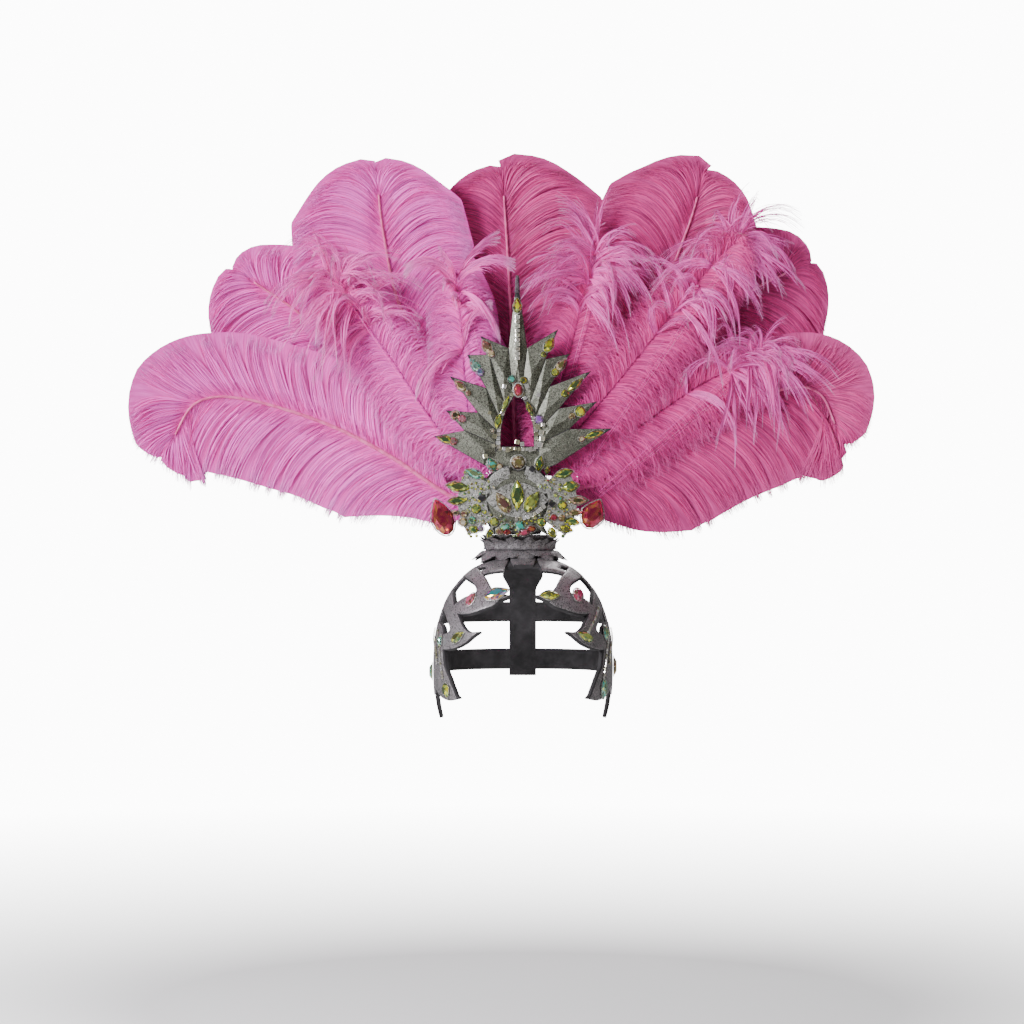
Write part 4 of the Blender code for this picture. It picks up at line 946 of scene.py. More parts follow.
def crumple(point, scale, depth):
    """A shift that puts sharp little folds in a surface."""
    folds = 0.0
    for octave, share in ((1.0, 0.6), (2.3, 0.3), (5.1, 0.1)):
        value = noise.noise(point * scale * octave + Vector((3.1 * octave, 0.7, 1.9)))
        folds += share * (1.0 - 2.0 * abs(value))
    return depth * (folds - 0.4)


def build_neck():
    """The tube, whose foot lies on the crown plate's curve."""
    shape = bmesh.new()
    around = 150
    levels = [row * NECK_TALL / 26 for row in range(27)]
    rings = []
    for row, up in enumerate([-0.004] + levels):
        ring = []
        for index in range(around):
            turn = 2 * math.pi * index / around
            point = neck_point(turn, max(up, 0.0))
            out = Vector((math.sin(turn), -math.cos(turn), 0.0))
            point += out * crumple(point, CRUMPLE_SCALE, CRUMPLE)
            if up < NECK_FOOT:
                foot, away = on_head((point.x, point.y, 0.0))
                share = max(up, 0.0) / NECK_FOOT
                foot = Vector(foot + away * (FOAM + 2 * GLUE_GAP))
                point = foot.lerp(point, share) if row else foot
            ring.append(shape.verts.new(point))
        rings.append(ring)
    bridge(shape, rings, 1, True)
    shape.faces.new(rings[0][::-1])
    shape.faces.new(rings[-1]).material_index = 1
    face_whole(shape)
    finished("neck_in_crumpled_cloth", shape, (black_foam, cap_silver), "silver_foam", "neck", sharp=60)


def add_folded_leaf(shape, turn, low, high, half_turn, lean, thick, rows=9):
    """Adds one folded leaf on the neck: its middle stands out, its sides fall back and it ends in a point."""
    edge = float_layer(shape.verts, "edge")
    front, back = [], []
    for row in range(rows):
        share = row / (rows - 1)
        wide = half_turn * (1.0 - 0.12 * share) * (1.0 - share ** 2.6)
        up = low + (high - low) * share
        line_front, line_back = [], []
        for column in range(-3, 4):
            place = column / 3
            fold = (1.0 - abs(place)) * 0.0016 * (1.0 - 0.5 * share)
            out = GLUE_GAP * 2 + lean * share ** 1.3 + thick + fold
            here = neck_point(turn + place * max(wide, 0.004), up, out)
            inner = neck_point(turn + place * max(wide, 0.004), up, out - thick - fold * 0.8)
            vertex = shape.verts.new(here)
            vertex[edge] = FACING_EDGE * (0.2 if abs(column) == 3 or row == rows - 1 else 3.0)
            line_front.append(vertex)
            line_back.append(shape.verts.new(inner))
        front.append(line_front)
        back.append(line_back)
    for row in range(rows - 1):
        for column in range(6):
            face = shape.faces.new((front[row][column], front[row][column + 1], front[row + 1][column + 1],
                                    front[row + 1][column]))
            face.material_index = 1
            shape.faces.new((back[row][column + 1], back[row][column], back[row + 1][column],
                             back[row + 1][column + 1]))
    rim_front = front[0] + [line[-1] for line in front[1:]] + front[-1][-2::-1] + [line[0] for line in front[-2:0:-1]]
    rim_back = back[0] + [line[-1] for line in back[1:]] + back[-1][-2::-1] + [line[0] for line in back[-2:0:-1]]
    for index in range(len(rim_front)):
        after = (index + 1) % len(rim_front)
        shape.faces.new((rim_front[index], rim_back[index], rim_back[after], rim_front[after]))


def build_collar():
    """The rings of leaves, each leaf turned and cut a little differently."""
    shape = bmesh.new()
    dice = np.random.default_rng(12)
    for low, high, lean, wide, offset in COLLAR_ROWS:
        for number in range(LEAF_COUNT):
            turn = 2 * math.pi * (number + offset) / LEAF_COUNT + dice.uniform(-0.05, 0.05)
            point = high + dice.uniform(-0.0012, 0.0010)
            add_folded_leaf(shape, turn, low, point, wide * 2 * math.pi / LEAF_COUNT, lean, LEAF_THICK)
    finished("collar_of_folded_leaves", shape, (black_foam, cap_silver), "silver_foam", "leaf_collar", sharp=20)


build_neck()
build_collar()


# Crest: the upright ornament. Eleven folded leaves of thin foam, faced in glitter cloth, stand round a pointed
# arch; their sides and the folds between them stay black, and small mirrors follow the arch.

OUTWARD = Vector((0.0, -1.0, 0.0))
CREST_X = -0.0055
CREST_BACK = -0.0170
CREST_EDGE = 0.0040
CREST_RIDGE = 0.0085
CREST_LEDGE = 0.0050
TIP_BACK = 0.0022
LEDGE_WIDE = 0.0048
ARCH_BOTTOM = 0.1075
ARCH_TOP = 0.1590
ARCH_HALF = 0.0155
CREST_FOOT = 0.0270
TONGUE_HALF = 0.0230
TONGUE_TOP = 0.0860
ARCH_FOOT = 0.0040
FOLD_LINE = 0.00045
# Strength of the painted shade on facets: lighter where they turn to the left, darker where they turn to the right,
# plus a random tone of the same size
FACET_SIDE_SHADE = 0.17
TIP_BARE = -0.0004
TALL_TIP_BARE = -0.0030
# The leaves' tips from the lower left over the top to the lower right, from the crest's middle and the origin
SPIKE_TIPS = (
    (-0.0790, 0.1170), (-0.0675, 0.1415), (-0.0640, 0.1740), (-0.0475, 0.1940), (-0.0350, 0.2120),
    (0.0000, 0.2700),
    (0.0390, 0.2185), (0.0495, 0.1950), (0.0700, 0.1790), (0.0760, 0.1500), (0.0900, 0.1245),
)
TALL_LEAF = len(SPIKE_TIPS) // 2
# Where each leaf's foot begins and ends on the rim, in the same order
RIM = (
    (-0.0318, 0.0902), (-0.0501, 0.1227), (-0.0373, 0.1396), (-0.0295, 0.1627), (-0.0264, 0.1942),
    (-0.0083, 0.2004),
    (0.0093, 0.2004), (0.0269, 0.1900), (0.0306, 0.1640), (0.0397, 0.1434), (0.0492, 0.1240),
    (0.0359, 0.0898),
)


def arch_outline(grow=0.0):
    """Points of the pointed arch's side, from the bottom left over the top to the bottom right."""
    rows = ((-1.0, 0.00), (-1.0, 0.22), (-0.93, 0.42), (-0.74, 0.62), (-0.42, 0.82), (0.0, 1.0))
    tall = ARCH_TOP - ARCH_BOTTOM
    left = [(wide * (ARCH_HALF + grow), ARCH_BOTTOM - grow + (tall + 2.4 * grow) * up) for wide, up in rows]
    return left + [(-x, z) for x, z in reversed(left[:-1])]


def spine_point(index):
    """The raised middle of a leaf's foot."""
    ledge = arch_outline(LEDGE_WIDE)[index]
    return tuple((rim + after) / 4 + near / 2 for rim, after, near in zip(RIM[index], RIM[index + 1], ledge))


def add_facets(shape, points, facets, outline, back, line=FOLD_LINE, tip=WHOLE_FACING):
    """Adds a folded plate of flat facets with a plain back. Its sides and a thin line round it are black, and
    so is its second corner when that is given a lower edge distance."""
    edge = float_layer(shape.verts, "edge")
    fold = float_layer(shape.faces, "fold")
    dice = np.random.default_rng(len(shape.faces))
    front = [shape.verts.new(point) for point in points]
    rear = {index: shape.verts.new((points[index][0], back, points[index][2])) for index in outline}
    for vertex in front + list(rear.values()):
        vertex[edge] = WHOLE_FACING
    front[1][edge] = tip
    made = [shape.faces.new([front[index] for index in facet]) for facet in facets]
    for start, end in zip(outline, outline[1:] + outline[:1]):
        shape.faces.new((front[end], front[start], rear[start], rear[end]))
    shape.faces.new([rear[index] for index in outline])
    shape.normal_update()
    for face in made:
        if face.normal.y > 0:
            face.normal_flip()
        face.material_index = 1
        # Painted shade: the "fold" number makes facets turned to the left lighter and those turned to the right
        # darker, plus a random tone.
        face[fold] = -FACET_SIDE_SHADE * (0.6 * min(max(face.normal.x * 5.0, -1.0), 1.0) + dice.uniform(-0.5, 0.5))
    rim = bmesh.ops.inset_region(shape, faces=made, thickness=line, depth=0.0, use_even_offset=True)
    for face in rim["faces"]:
        face.material_index = 0


def at_crest(x, z, depth):
    """A point of the crest in the part's frame: depth is measured forward from the crest's back."""
    return (CREST_X + x, CREST_BACK - depth, z)


def build_crest():
    """The folded leaves round the arch, the ledge of the opening, and the tongue below it."""
    shape = bmesh.new()
    ledge = arch_outline(LEDGE_WIDE)
    opening = arch_outline()
    for index, tip in enumerate(SPIKE_TIPS):
        here = ledge[index]
        lower = (here[0], here[1] - ARCH_FOOT)
        before = tuple((a + b) / 2 for a, b in zip(here, ledge[index - 1])) if index else lower
        after = tuple((a + b) / 2 for a, b in zip(here, ledge[index + 1])) if index < len(ledge) - 1 else lower
        spine = spine_point(index)
        points = [at_crest(*RIM[index], CREST_EDGE), at_crest(*tip, CREST_EDGE - TIP_BACK),
                  at_crest(*RIM[index + 1], CREST_EDGE), at_crest(*after, CREST_LEDGE),
                  at_crest(*here, CREST_LEDGE), at_crest(*before, CREST_LEDGE), at_crest(*spine, CREST_RIDGE)]
        facets = [(0, 1, 6), (1, 2, 6), (2, 3, 6), (3, 4, 6), (4, 5, 6), (5, 0, 6)]
        bare = TALL_TIP_BARE if index == TALL_LEAF else TIP_BARE
        add_facets(shape, points, facets, [0, 1, 2, 3, 4, 5], CREST_BACK, tip=bare)
    count = len(ledge)
    points = [at_crest(*spot, CREST_LEDGE) for spot in ledge + opening]
    for index in range(count - 1):
        add_facets(shape, [points[index], points[index + 1], points[count + index + 1], points[count + index]],
                   [(0, 1, 2, 3)], [0, 1, 2, 3], CREST_BACK)
    foot = ((-TONGUE_HALF, TONGUE_TOP), (-TONGUE_HALF * 0.9, CREST_FOOT), (TONGUE_HALF * 0.9, CREST_FOOT),
            (TONGUE_HALF, TONGUE_TOP))
    points = [at_crest(*RIM[0], CREST_EDGE), at_crest(*ledge[0], CREST_LEDGE), at_crest(*opening[0], CREST_LEDGE),
              at_crest(*opening[-1], CREST_LEDGE), at_crest(*ledge[-1], CREST_LEDGE),
              at_crest(*RIM[-1], CREST_EDGE), at_crest(*foot[3], CREST_EDGE), at_crest(*foot[2], CREST_EDGE),
              at_crest(*foot[1], CREST_EDGE), at_crest(*foot[0], CREST_EDGE),
              at_crest(0.0, TONGUE_TOP + 0.0020, CREST_LEDGE)]
    facets = [(0, 1, 10), (1, 2, 10), (2, 3, 10), (3, 4, 10), (4, 5, 10), (5, 6, 10), (6, 7, 8, 9), (9, 0, 10),
              (6, 9, 10)]
    add_facets(shape, points, facets, list(range(10)), CREST_BACK)
    finished("crest_of_folded_leaves", shape, (black_foam, crest_silver), "silver_foam", "crest_plate", sharp=1)


def spike_frame(index):
    """A leaf's foot and its tip along its ridge, the way from one to the other, and the way out from it."""
    foot = Vector(at_crest(*spine_point(index), CREST_RIDGE))
    tip = Vector(at_crest(*SPIKE_TIPS[index], CREST_EDGE - TIP_BACK))
    way = (tip - foot).normalized()
    return foot, tip, way, (OUTWARD + way * way.y).normalized()


def path_tiles(points, out, size, seed, wide=1.0, gap=1.14, lift=0.0, skip=0.0):
    """Settings for square mirrors along a line: place, turn, size and tone."""
    fine, lengths = smooth_route(points, 10)
    count = max(int(lengths[-1] / (size * gap)), 1)
    dice = np.random.default_rng(seed)
    settings = []
    for number in range(count):
        spot, way = on_route(fine, lengths, (number + 0.5) / count)
        if dice.random() < skip:
            continue
        turn = facing_turn(spot, out, way).to_euler()
        scale = size * dice.uniform(0.88, 1.0)
        place = Vector(spot) + Vector(out) * lift
        settings.append((place, tuple(turn), (scale, scale * wide, TILE_THICK), dice.random()))
    return settings


crest_silver = glitter_finish("crest_glitter_cloth", (0.026, 0.028, 0.016), (0.29, 0.30, 0.245), 2100.0, 0.60, 0.0003)
build_crest()


# Mirrors and stones of the crest: square mirrors in a single row round the arch and up the tall leaf, a cut stone
# in a seat near every point, and round and pear stones where the arch closes.

SPIKE_STONE_TALL = 0.0035
ARCH_TILE = 0.0034
SILL_TILE = 0.0030
LEAF_TILE = 0.0036
ARCH_STONE_TALL = 0.0040
# Kind, colour, share of the way to the tip, length and width
SPIKE_STONES = (
    ("pear", "lime", 0.77, 0.016, 0.008), ("round", "champagne", 0.74, 0.009, 0.009),
    ("pear", "champagne", 0.73, 0.015, 0.008), ("pear", "aqua", 0.70, 0.016, 0.009),
    ("pear", "champagne", 0.72, 0.015, 0.009),
    ("pear", "lime", 0.66, 0.015, 0.008),
    ("pear", "lime", 0.66, 0.016, 0.009), ("pear", "champagne", 0.70, 0.016, 0.008),
    ("navette", "lime", 0.64, 0.020, 0.007), ("round", "lime", 0.62, 0.010, 0.010),
    ("navette", "lime", 0.70, 0.020, 0.007),
)
ARCH_STONES = (
    ("arch_stone_top", "oval", "ruby", (0.0010, 0.1608), (0.0, 1.0), 0.0120, 0.0080),
    ("arch_stone_foot", "round", "champagne", (0.0010, 0.0924), (0.0, 1.0), 0.0130, 0.0130),
    ("arch_stone_left", "pear", "aqua", (-0.0235, 0.0905), (-0.5, 0.9), 0.0145, 0.0095),
    ("arch_stone_right", "navette", "lime", (0.0210, 0.0912), (0.2, 1.0), 0.0155, 0.0080),
)

for index, (kind, colour, share, length, width) in enumerate(SPIKE_STONES):
    foot, tip, way, out = spike_frame(index)
    seated_stone(f"spike_stone_{index + 1:02d}", kind, colour, foot.lerp(tip, share) + out * GLUE_GAP, out, way,
                 length, width, SPIKE_STONE_TALL, 100 + index, grow=0.0007)
for number, (name, kind, colour, (x, z), (way_x, way_z), length, width) in enumerate(ARCH_STONES):
    raised = TILE_THICK + GLUE_GAP if z > ARCH_TOP else 0.0
    seated_stone(name, kind, colour, at_crest(x, z, CREST_LEDGE + GLUE_GAP + raised), (0, -1, 0), (way_x, 0, way_z),
                 length, width, ARCH_STONE_TALL, 130 + number)

around_arch = [at_crest(x, z, CREST_LEDGE + GLUE_GAP) for x, z in arch_outline(LEDGE_WIDE / 2)]
below_arch = [around_arch[0], at_crest(0.0, ARCH_BOTTOM - LEDGE_WIDE / 2, CREST_LEDGE + GLUE_GAP), around_arch[-1]]
settings = path_tiles(around_arch, OUTWARD, ARCH_TILE, 21, wide=1.15, skip=0.06)
settings += path_tiles(below_arch, OUTWARD, SILL_TILE, 22, skip=0.15)
mirror_piece("arch_mirrors", settings, 0.10, 23, "arch_tiles")
foot, tip, _, out = spike_frame(TALL_LEAF)
up_leaf = [foot.lerp(tip, share) for share in (0.06, 0.30, 0.56)]
mirror_piece("tall_leaf_mirrors", path_tiles(up_leaf, out, LEAF_TILE, 24, wide=1.25, lift=0.0002), 0.03, 25)


# Small extras glued to the crest by hand: a round stone below each point's stone, stones and loose mirrors round
# the arch, and the bare dark foam end of the tall leaf.

EXTRA_TALL = 0.0030
EXTRA_LIFT = 0.0022
LOOSE_LIFT = 0.0030
BARE_TIP_HALF = (0.0026, 0.0017)
BARE_TIP_DEEP = 0.0022
# Leaf by number, colour, share of the way to the tip and size
SECOND_STONES = (
    (0, "rose", 0.61, 0.0085), (1, "rose", 0.55, 0.0085), (2, "champagne", 0.52, 0.0060), (3, "lilac", 0.52, 0.0085),
    (4, "champagne", 0.53, 0.0085), (6, "lime", 0.44, 0.0060), (7, "lime", 0.50, 0.0080), (8, "lime", 0.42, 0.0080),
    (9, "champagne", 0.44, 0.0070), (10, "champagne", 0.50, 0.0065),
)
# Kind, colour, place from the crest's middle, way, length and width
ARCH_EXTRAS = (
    ("round", "aqua", (-0.0050, 0.1710), (1.0, 0.0), 0.0075, 0.0075),
    ("round", "lime", (0.0060, 0.1700), (1.0, 0.0), 0.0065, 0.0065),
    ("navette", "lime", (-0.0108, 0.1475), (0.40, 1.0), 0.0170, 0.0050),
    ("navette", "lime", (-0.0180, 0.1310), (0.25, 1.0), 0.0150, 0.0070),
    ("navette", "lime", (0.0118, 0.1430), (-0.42, 1.0), 0.0150, 0.0058),
    ("round", "lilac", (0.0205, 0.1330), (1.0, 0.0), 0.0085, 0.0085),
    ("round", "champagne", (-0.0165, 0.0880), (1.0, 0.0), 0.0075, 0.0075),
    ("round", "champagne", (-0.0235, 0.1220), (1.0, 0.0), 0.0040, 0.0040),
    ("navette", "lime", (0.0285, 0.0850), (0.3, 1.0), 0.0080, 0.0050),
)
# Loose square mirrors: place from the crest's middle and size
LOOSE_MIRRORS = (
    (0.0195, 0.1255, 0.0044), (0.0225, 0.1205, 0.0046), (0.0235, 0.1145, 0.0044), (0.0215, 0.1090, 0.0046),
    (0.0245, 0.1275, 0.0034), (-0.0215, 0.1170, 0.0040), (-0.0225, 0.1080, 0.0034), (0.0000, 0.1115, 0.0042),
    (0.0045, 0.1095, 0.0040), (-0.0090, 0.1040, 0.0040), (0.0125, 0.1045, 0.0040), (0.0090, 0.1640, 0.0044),
    (-0.0120, 0.1640, 0.0036), (-0.0300, 0.0980, 0.0042), (0.0200, 0.1560, 0.0036), (-0.0260, 0.1390, 0.0034),
)


def build_crest_extras():
    """The extra stones as one piece, and the loose mirrors as another."""
    shape = bmesh.new()
    settings = []
    for index, colour, share, size in SECOND_STONES:
        foot, tip, way, out = spike_frame(index)
        settings.append(("round", colour, foot.lerp(tip, share) + out * 0.0002, out, way, size, size * 0.92))
    for kind, colour, (x, z), (way_x, way_z), length, width in ARCH_EXTRAS:
        settings.append((kind, colour, Vector(at_crest(x, z, CREST_LEDGE + EXTRA_LIFT)), OUTWARD,
                         Vector((way_x, 0.0, way_z)), length, width))
    for number, (kind, colour, place, out, way, length, width) in enumerate(settings):
        add_group_stone(shape, kind, colour, length, width, EXTRA_TALL, 300 + number, 8, facing_turn(place, out, way),
                        0.0008, 0.0005)
    stone_group("crest_extra_stones", shape)
    dice = np.random.default_rng(41)
    settings = []
    for x, z, size in LOOSE_MIRRORS:
        place = Vector(at_crest(x, z, CREST_LEDGE + LOOSE_LIFT))
        turn = facing_turn(place, (0.12 * dice.uniform(-1, 1), -1.0, 0.12), (dice.uniform(-0.4, 0.4), 0.0, 1.0))
        settings.append((place, tuple(turn.to_euler()), (size, size, TILE_THICK), dice.random()))
    mirror_piece("loose_mirrors", settings, 0.10, 42)


def build_bare_tip():
    """The blunt foam end of the tall leaf, past its stone."""
    foot, tip, way, _ = spike_frame(TALL_LEAF)
    low, high = foot.lerp(tip, 0.80), tip - way * 0.0010
    shape = bmesh.new()
    rings = []
    for spot, half in ((low, BARE_TIP_HALF[0]), (high, BARE_TIP_HALF[1])):
        ring = [(-half, 0.0004), (-half * 0.4, -BARE_TIP_DEEP), (half * 0.5, -BARE_TIP_DEEP * 0.8), (half, 0.0004),
                (half, 0.0012), (-half, 0.0012)]
        rings.append([shape.verts.new((spot.x + x, spot.y + y, spot.z)) for x, y in ring])
    bridge(shape, rings)
    shape.faces.new(rings[0])
    shape.faces.new(rings[1])
    face_whole(shape)
    for face in shape.faces:
        face.material_index = 1
    finished("tall_leaf_bare_end", shape, (black_foam, worn_foam), "black_foam", sharp=1)


worn_foam = glitter_finish("worn_foam_end", (0.035, 0.030, 0.036), (0.17, 0.15, 0.17), 900.0, 0.10, 0.0004)
build_crest_extras()
build_bare_tip()


# Rosette: a ring of pointed foam petals round a disc, all faced in glitter cloth. An almond-shaped plate on the
# disc carries three large stones, and small mirrors edge it below.

ROSETTE_Z = 0.0560
PETAL_THICK = 0.0040
PETAL_RIDGE = 0.0035
PETAL_TIP_BACK = 0.0010
PETAL_WAIST = 0.0015
DISC_RADIUS = 0.0270
DISC_STEP = 0.0012
ALMOND_HALF = 0.0300
ALMOND_TALL = 0.0165
ALMOND_UP = 0.0010
ALMOND_TILE = 0.0031
SHOULDER_RADIUS = 0.0345
SHOULDER_WIDE = 0.0130
SHOULDER_ANGLES = ((14, 76), (104, 166))
FAN_STONE_TALL = 0.0052
# Petals in order from the top, by angle in degrees and reach from the rosette's middle
PETAL_REACH = {60: 0.034, 25: 0.054, 8: 0.056, -10: 0.072, -30: 0.058, -48: 0.046, -66: 0.036, -90: 0.033,
               -114: 0.036, -132: 0.047, -150: 0.058, -169: 0.074, 172: 0.058, 152: 0.056, 120: 0.036}
FAN_STONES = (
    ("fan_stone_middle", "navette", "lime", (0.0, 0.0055), (0.0, 1.0), 0.029, 0.0125),
    ("fan_stone_left", "pear", "champagne", (-0.0135, -0.0015), (-0.6, 0.9), 0.023, 0.012),
    ("fan_stone_right", "pear", "lime", (0.0140, -0.0005), (0.6, 0.9), 0.023, 0.012),
)
rosette_back = CREST_BACK - CREST_EDGE - GLUE_GAP
disc_face = rosette_back - PETAL_THICK - PETAL_RIDGE - DISC_STEP


def on_rosette(radius, degrees, depth):
    """A point round the rosette's middle; depth is the part's own Y."""
    angle = math.radians(degrees)
    return (CREST_X + radius * math.cos(angle), depth, ROSETTE_Z + radius * math.sin(angle))


def build_rosette():
    """The petals, each with a ridge down its middle, and the disc with its stepped edge."""
    shape = bmesh.new()
    edge = rosette_back - PETAL_THICK
    ridge = edge - PETAL_RIDGE
    angles = list(PETAL_REACH)
    count = len(angles)
    middles = []
    for index, degrees in enumerate(angles):
        step = (angles[(index + 1) % count] - degrees + 540) % 360 - 180
        middles.append(degrees + step / 2)
    waist = DISC_RADIUS + PETAL_WAIST
    for index, degrees in enumerate(angles):
        before, after = middles[index - 1], middles[index]
        points = [on_rosette(PETAL_REACH[degrees], degrees, edge + PETAL_TIP_BACK), on_rosette(waist, after, edge),
                  on_rosette(DISC_RADIUS, after, ridge), on_rosette(DISC_RADIUS, degrees, ridge),
                  on_rosette(DISC_RADIUS, before, ridge), on_rosette(waist, before, edge)]
        facets = [(0, 1, 2, 3), (0, 3, 4, 5)]
        add_facets(shape, points, facets, [0, 1, 2, 3, 4, 5], rosette_back)
    sides = 48
    turns = [2 * math.pi * index / sides for index in range(sides)]
    edge_kept = float_layer(shape.verts, "edge")
    rings = []
    for radius, depth in ((DISC_RADIUS, rosette_back), (DISC_RADIUS, ridge), (DISC_RADIUS - 0.0004, ridge - 0.0008),
                          (DISC_RADIUS - DISC_STEP, disc_face)):
        ring = [shape.verts.new(on_rosette(radius, math.degrees(turn), depth)) for turn in turns]
        rings.append(ring)
        for vertex in ring:
            vertex[edge_kept] = WHOLE_FACING
    bridge(shape, rings[:4], 1)
    shape.faces.new(rings[3]).material_index = 1
    shape.faces.new(rings[0][::-1])
    finished("rosette_of_petals", shape, (black_foam, crest_silver), "silver_foam", "rosette_plate", sharp=1)


def almond_line(side, share, grow=0.0):
    """A point on the almond's upper (1) or lower (-1) side, from its left corner to its right corner."""
    x = (2.0 * share - 1.0) * (ALMOND_HALF + grow)
    return x, side * (ALMOND_TALL + grow) * (1.0 - (x / (ALMOND_HALF + grow)) ** 2) + ALMOND_UP


def build_almond():
    """A thin plate with a raised black-lined edge, under the three stones."""
    shape = bmesh.new()
    outline = [almond_line(1, share) for share in np.linspace(0.0, 1.0, 25)]
    outline += [almond_line(-1, share) for share in np.linspace(1.0, 0.0, 25)[1:-1]]
    points = [(CREST_X + x, disc_face - 0.0008, ROSETTE_Z + z) for x, z in outline]
    points += [(CREST_X, disc_face - 0.0014, ROSETTE_Z + ALMOND_UP)]
    middle = len(outline)
    facets = [(index, (index + 1) % middle, middle) for index in range(middle)]
    add_facets(shape, points, facets, list(range(middle)), rosette_back - PETAL_THICK, line=0.00012)
    finished("almond_plate", shape, (black_foam, bright_silver), "silver_foam", sharp=30)


def build_shoulders():
    """Two thin curved plates above the almond, at both sides of the middle stone, that round off the disc."""
    shape = bmesh.new()
    front, back = disc_face + 0.0002, rosette_back - PETAL_THICK
    for low, high in SHOULDER_ANGLES:
        outer = [on_rosette(SHOULDER_RADIUS, degrees, front) for degrees in np.linspace(low, high, 13)]
        inner = [on_rosette(SHOULDER_RADIUS - SHOULDER_WIDE, degrees, front) for degrees in np.linspace(high, low, 9)]
        points = outer + inner + [on_rosette(SHOULDER_RADIUS - 0.0050, (low + high) / 2, front - 0.0008)]
        middle = len(points) - 1
        facets = [(index, (index + 1) % middle, middle) for index in range(middle)]
        add_facets(shape, points, facets, list(range(middle)), back, line=0.00055)
    finished("disc_shoulders", shape, (black_foam, bright_silver), "silver_foam", sharp=30)


def build_black_squares():
    """Square black glass tiles set on their corners at both sides of the disc."""
    settings = []
    for number, (x, z, size) in enumerate(BLACK_SQUARES):
        place = (CREST_X + x, petal_level(math.hypot(x, z)) - BACKING - 0.0016, ROSETTE_Z + z)
        turn = facing_turn(place, OUTWARD, (0.8, 0.0, 1.0)).to_euler()
        settings.append((place, tuple(turn), (size, size, TILE_THICK), number * 0.2))
    squares = set_on_points("black_squares", settings, single_tile, black_glass, 0.10, 45)
    depth = squares.attributes.new("edge", "FLOAT", "POINT")
    depth.data.foreach_set("value", [WHOLE_FACING] * len(squares.vertices))
    plain_piece("black_squares", squares, "mirror_tile")


build_rosette()
build_almond()
build_shoulders()
for number, (name, kind, colour, (x, z), (way_x, way_z), length, width) in enumerate(FAN_STONES):
    seated_stone(name, kind, colour, (CREST_X + x, disc_face - 0.0014, ROSETTE_Z + z), (0, -1, 0), (way_x, 0, way_z),
                 length, width, FAN_STONE_TALL - 0.0011, 160 + number, grow=0.0006)
lower_edge = [(CREST_X + x, disc_face - 0.0012, ROSETTE_Z + z) for x, z in
              (almond_line(-1, share, 0.0012) for share in np.linspace(0.46, 0.92, 7))]
settings = path_tiles(lower_edge, OUTWARD, ALMOND_TILE, 31, wide=1.2)
mirror_piece("almond_mirrors", settings, 0.08, 32)


# Fields of small stones: cut stones of many sizes glued edge to edge on a thin backing at both sides of the
# rosette and below it, and one big red pear at each end.

PENDANT_TALL = 0.0075
PENDANT_WIDE = 0.0215
BACKING = 0.0012
FIELD_STONE_TALL = 0.0034
FIELD_OUT = 0.0560
FILLER_TRIES = 1500
FILLER_SIZES = (0.0026, 0.0032, 0.0040, 0.0048)
# Stones by kind, colour, place from the rosette's middle, way, length and width
FIELD_STONES = {
    "left": (
        ("navette", "aqua", (-0.0400, 0.0257), (-1.0, 0.35), 0.0190, 0.0095),
        ("navette", "lime", (-0.0560, 0.0133), (-1.0, 0.15), 0.0235, 0.0105),
        ("navette", "lime", (-0.0565, 0.0002), (-1.0, -0.05), 0.0190, 0.0085),
        ("round", "lime", (-0.0385, -0.0075), (1.0, 0.0), 0.0095, 0.0095),
        ("navette", "champagne", (-0.0580, -0.0112), (-1.0, 0.1), 0.0085, 0.0055),
        ("round", "champagne", (-0.0500, -0.0120), (1.0, 0.0), 0.0070, 0.0070),
        ("round", "champagne", (-0.0508, -0.0200), (1.0, 0.0), 0.0085, 0.0085),
        ("round", "aqua", (-0.0425, -0.0182), (1.0, 0.0), 0.0075, 0.0075),
        ("pear", "lime", (-0.0412, -0.0268), (-1.0, 0.4), 0.0105, 0.0075),
        ("round", "lilac", (-0.0342, -0.0262), (1.0, 0.0), 0.0060, 0.0060),
        ("pear", "lime", (-0.0262, -0.0308), (-0.5, -1.0), 0.0090, 0.0070),
    ),
    "right": (
        ("navette", "lime", (0.0440, 0.0257), (1.0, 0.25), 0.0190, 0.0090),
        ("navette", "lime", (0.0500, 0.0135), (1.0, 0.15), 0.0170, 0.0110),
        ("navette", "champagne", (0.0570, 0.0005), (1.0, 0.0), 0.0200, 0.0085),
        ("round", "lime", (0.0425, -0.0040), (1.0, 0.0), 0.0090, 0.0090),
        ("round", "ruby", (0.0345, -0.0155), (1.0, 0.0), 0.0070, 0.0060),
        ("navette", "champagne", (0.0540, -0.0112), (1.0, 0.1), 0.0145, 0.0075),
        ("navette", "lime", (0.0520, -0.0195), (1.0, -0.2), 0.0150, 0.0085),
        ("pear", "lime", (0.0465, -0.0265), (1.0, -0.3), 0.0125, 0.0080),
        ("round", "champagne", (0.0420, -0.0160), (1.0, 0.0), 0.0070, 0.0070),
        ("pear", "lime", (0.0330, -0.0300), (0.6, -1.0), 0.0110, 0.0085),
    ),
}
LOWER_STONES = (
    ("oval", "aqua", (-0.0115, -0.0245), (1.0, 0.2), 0.0095, 0.0065),
    ("oval", "ruby", (-0.0095, -0.0295), (1.0, 0.0), 0.0080, 0.0050),
    ("round", "aqua", (0.0028, -0.0235), (1.0, 0.0), 0.0105, 0.0090),
    ("oval", "rose", (0.0065, -0.0295), (1.0, 0.1), 0.0110, 0.0070),
    ("oval", "ruby", (0.0135, -0.0262), (1.0, 0.0), 0.0080, 0.0060),
    ("round", "lime", (0.0228, -0.0200), (1.0, 0.0), 0.0085, 0.0085),
    ("round", "lime", (-0.0215, -0.0195), (1.0, 0.0), 0.0085, 0.0085),
    ("round", "champagne", (-0.0165, -0.0285), (1.0, 0.0), 0.0075, 0.0075),
)
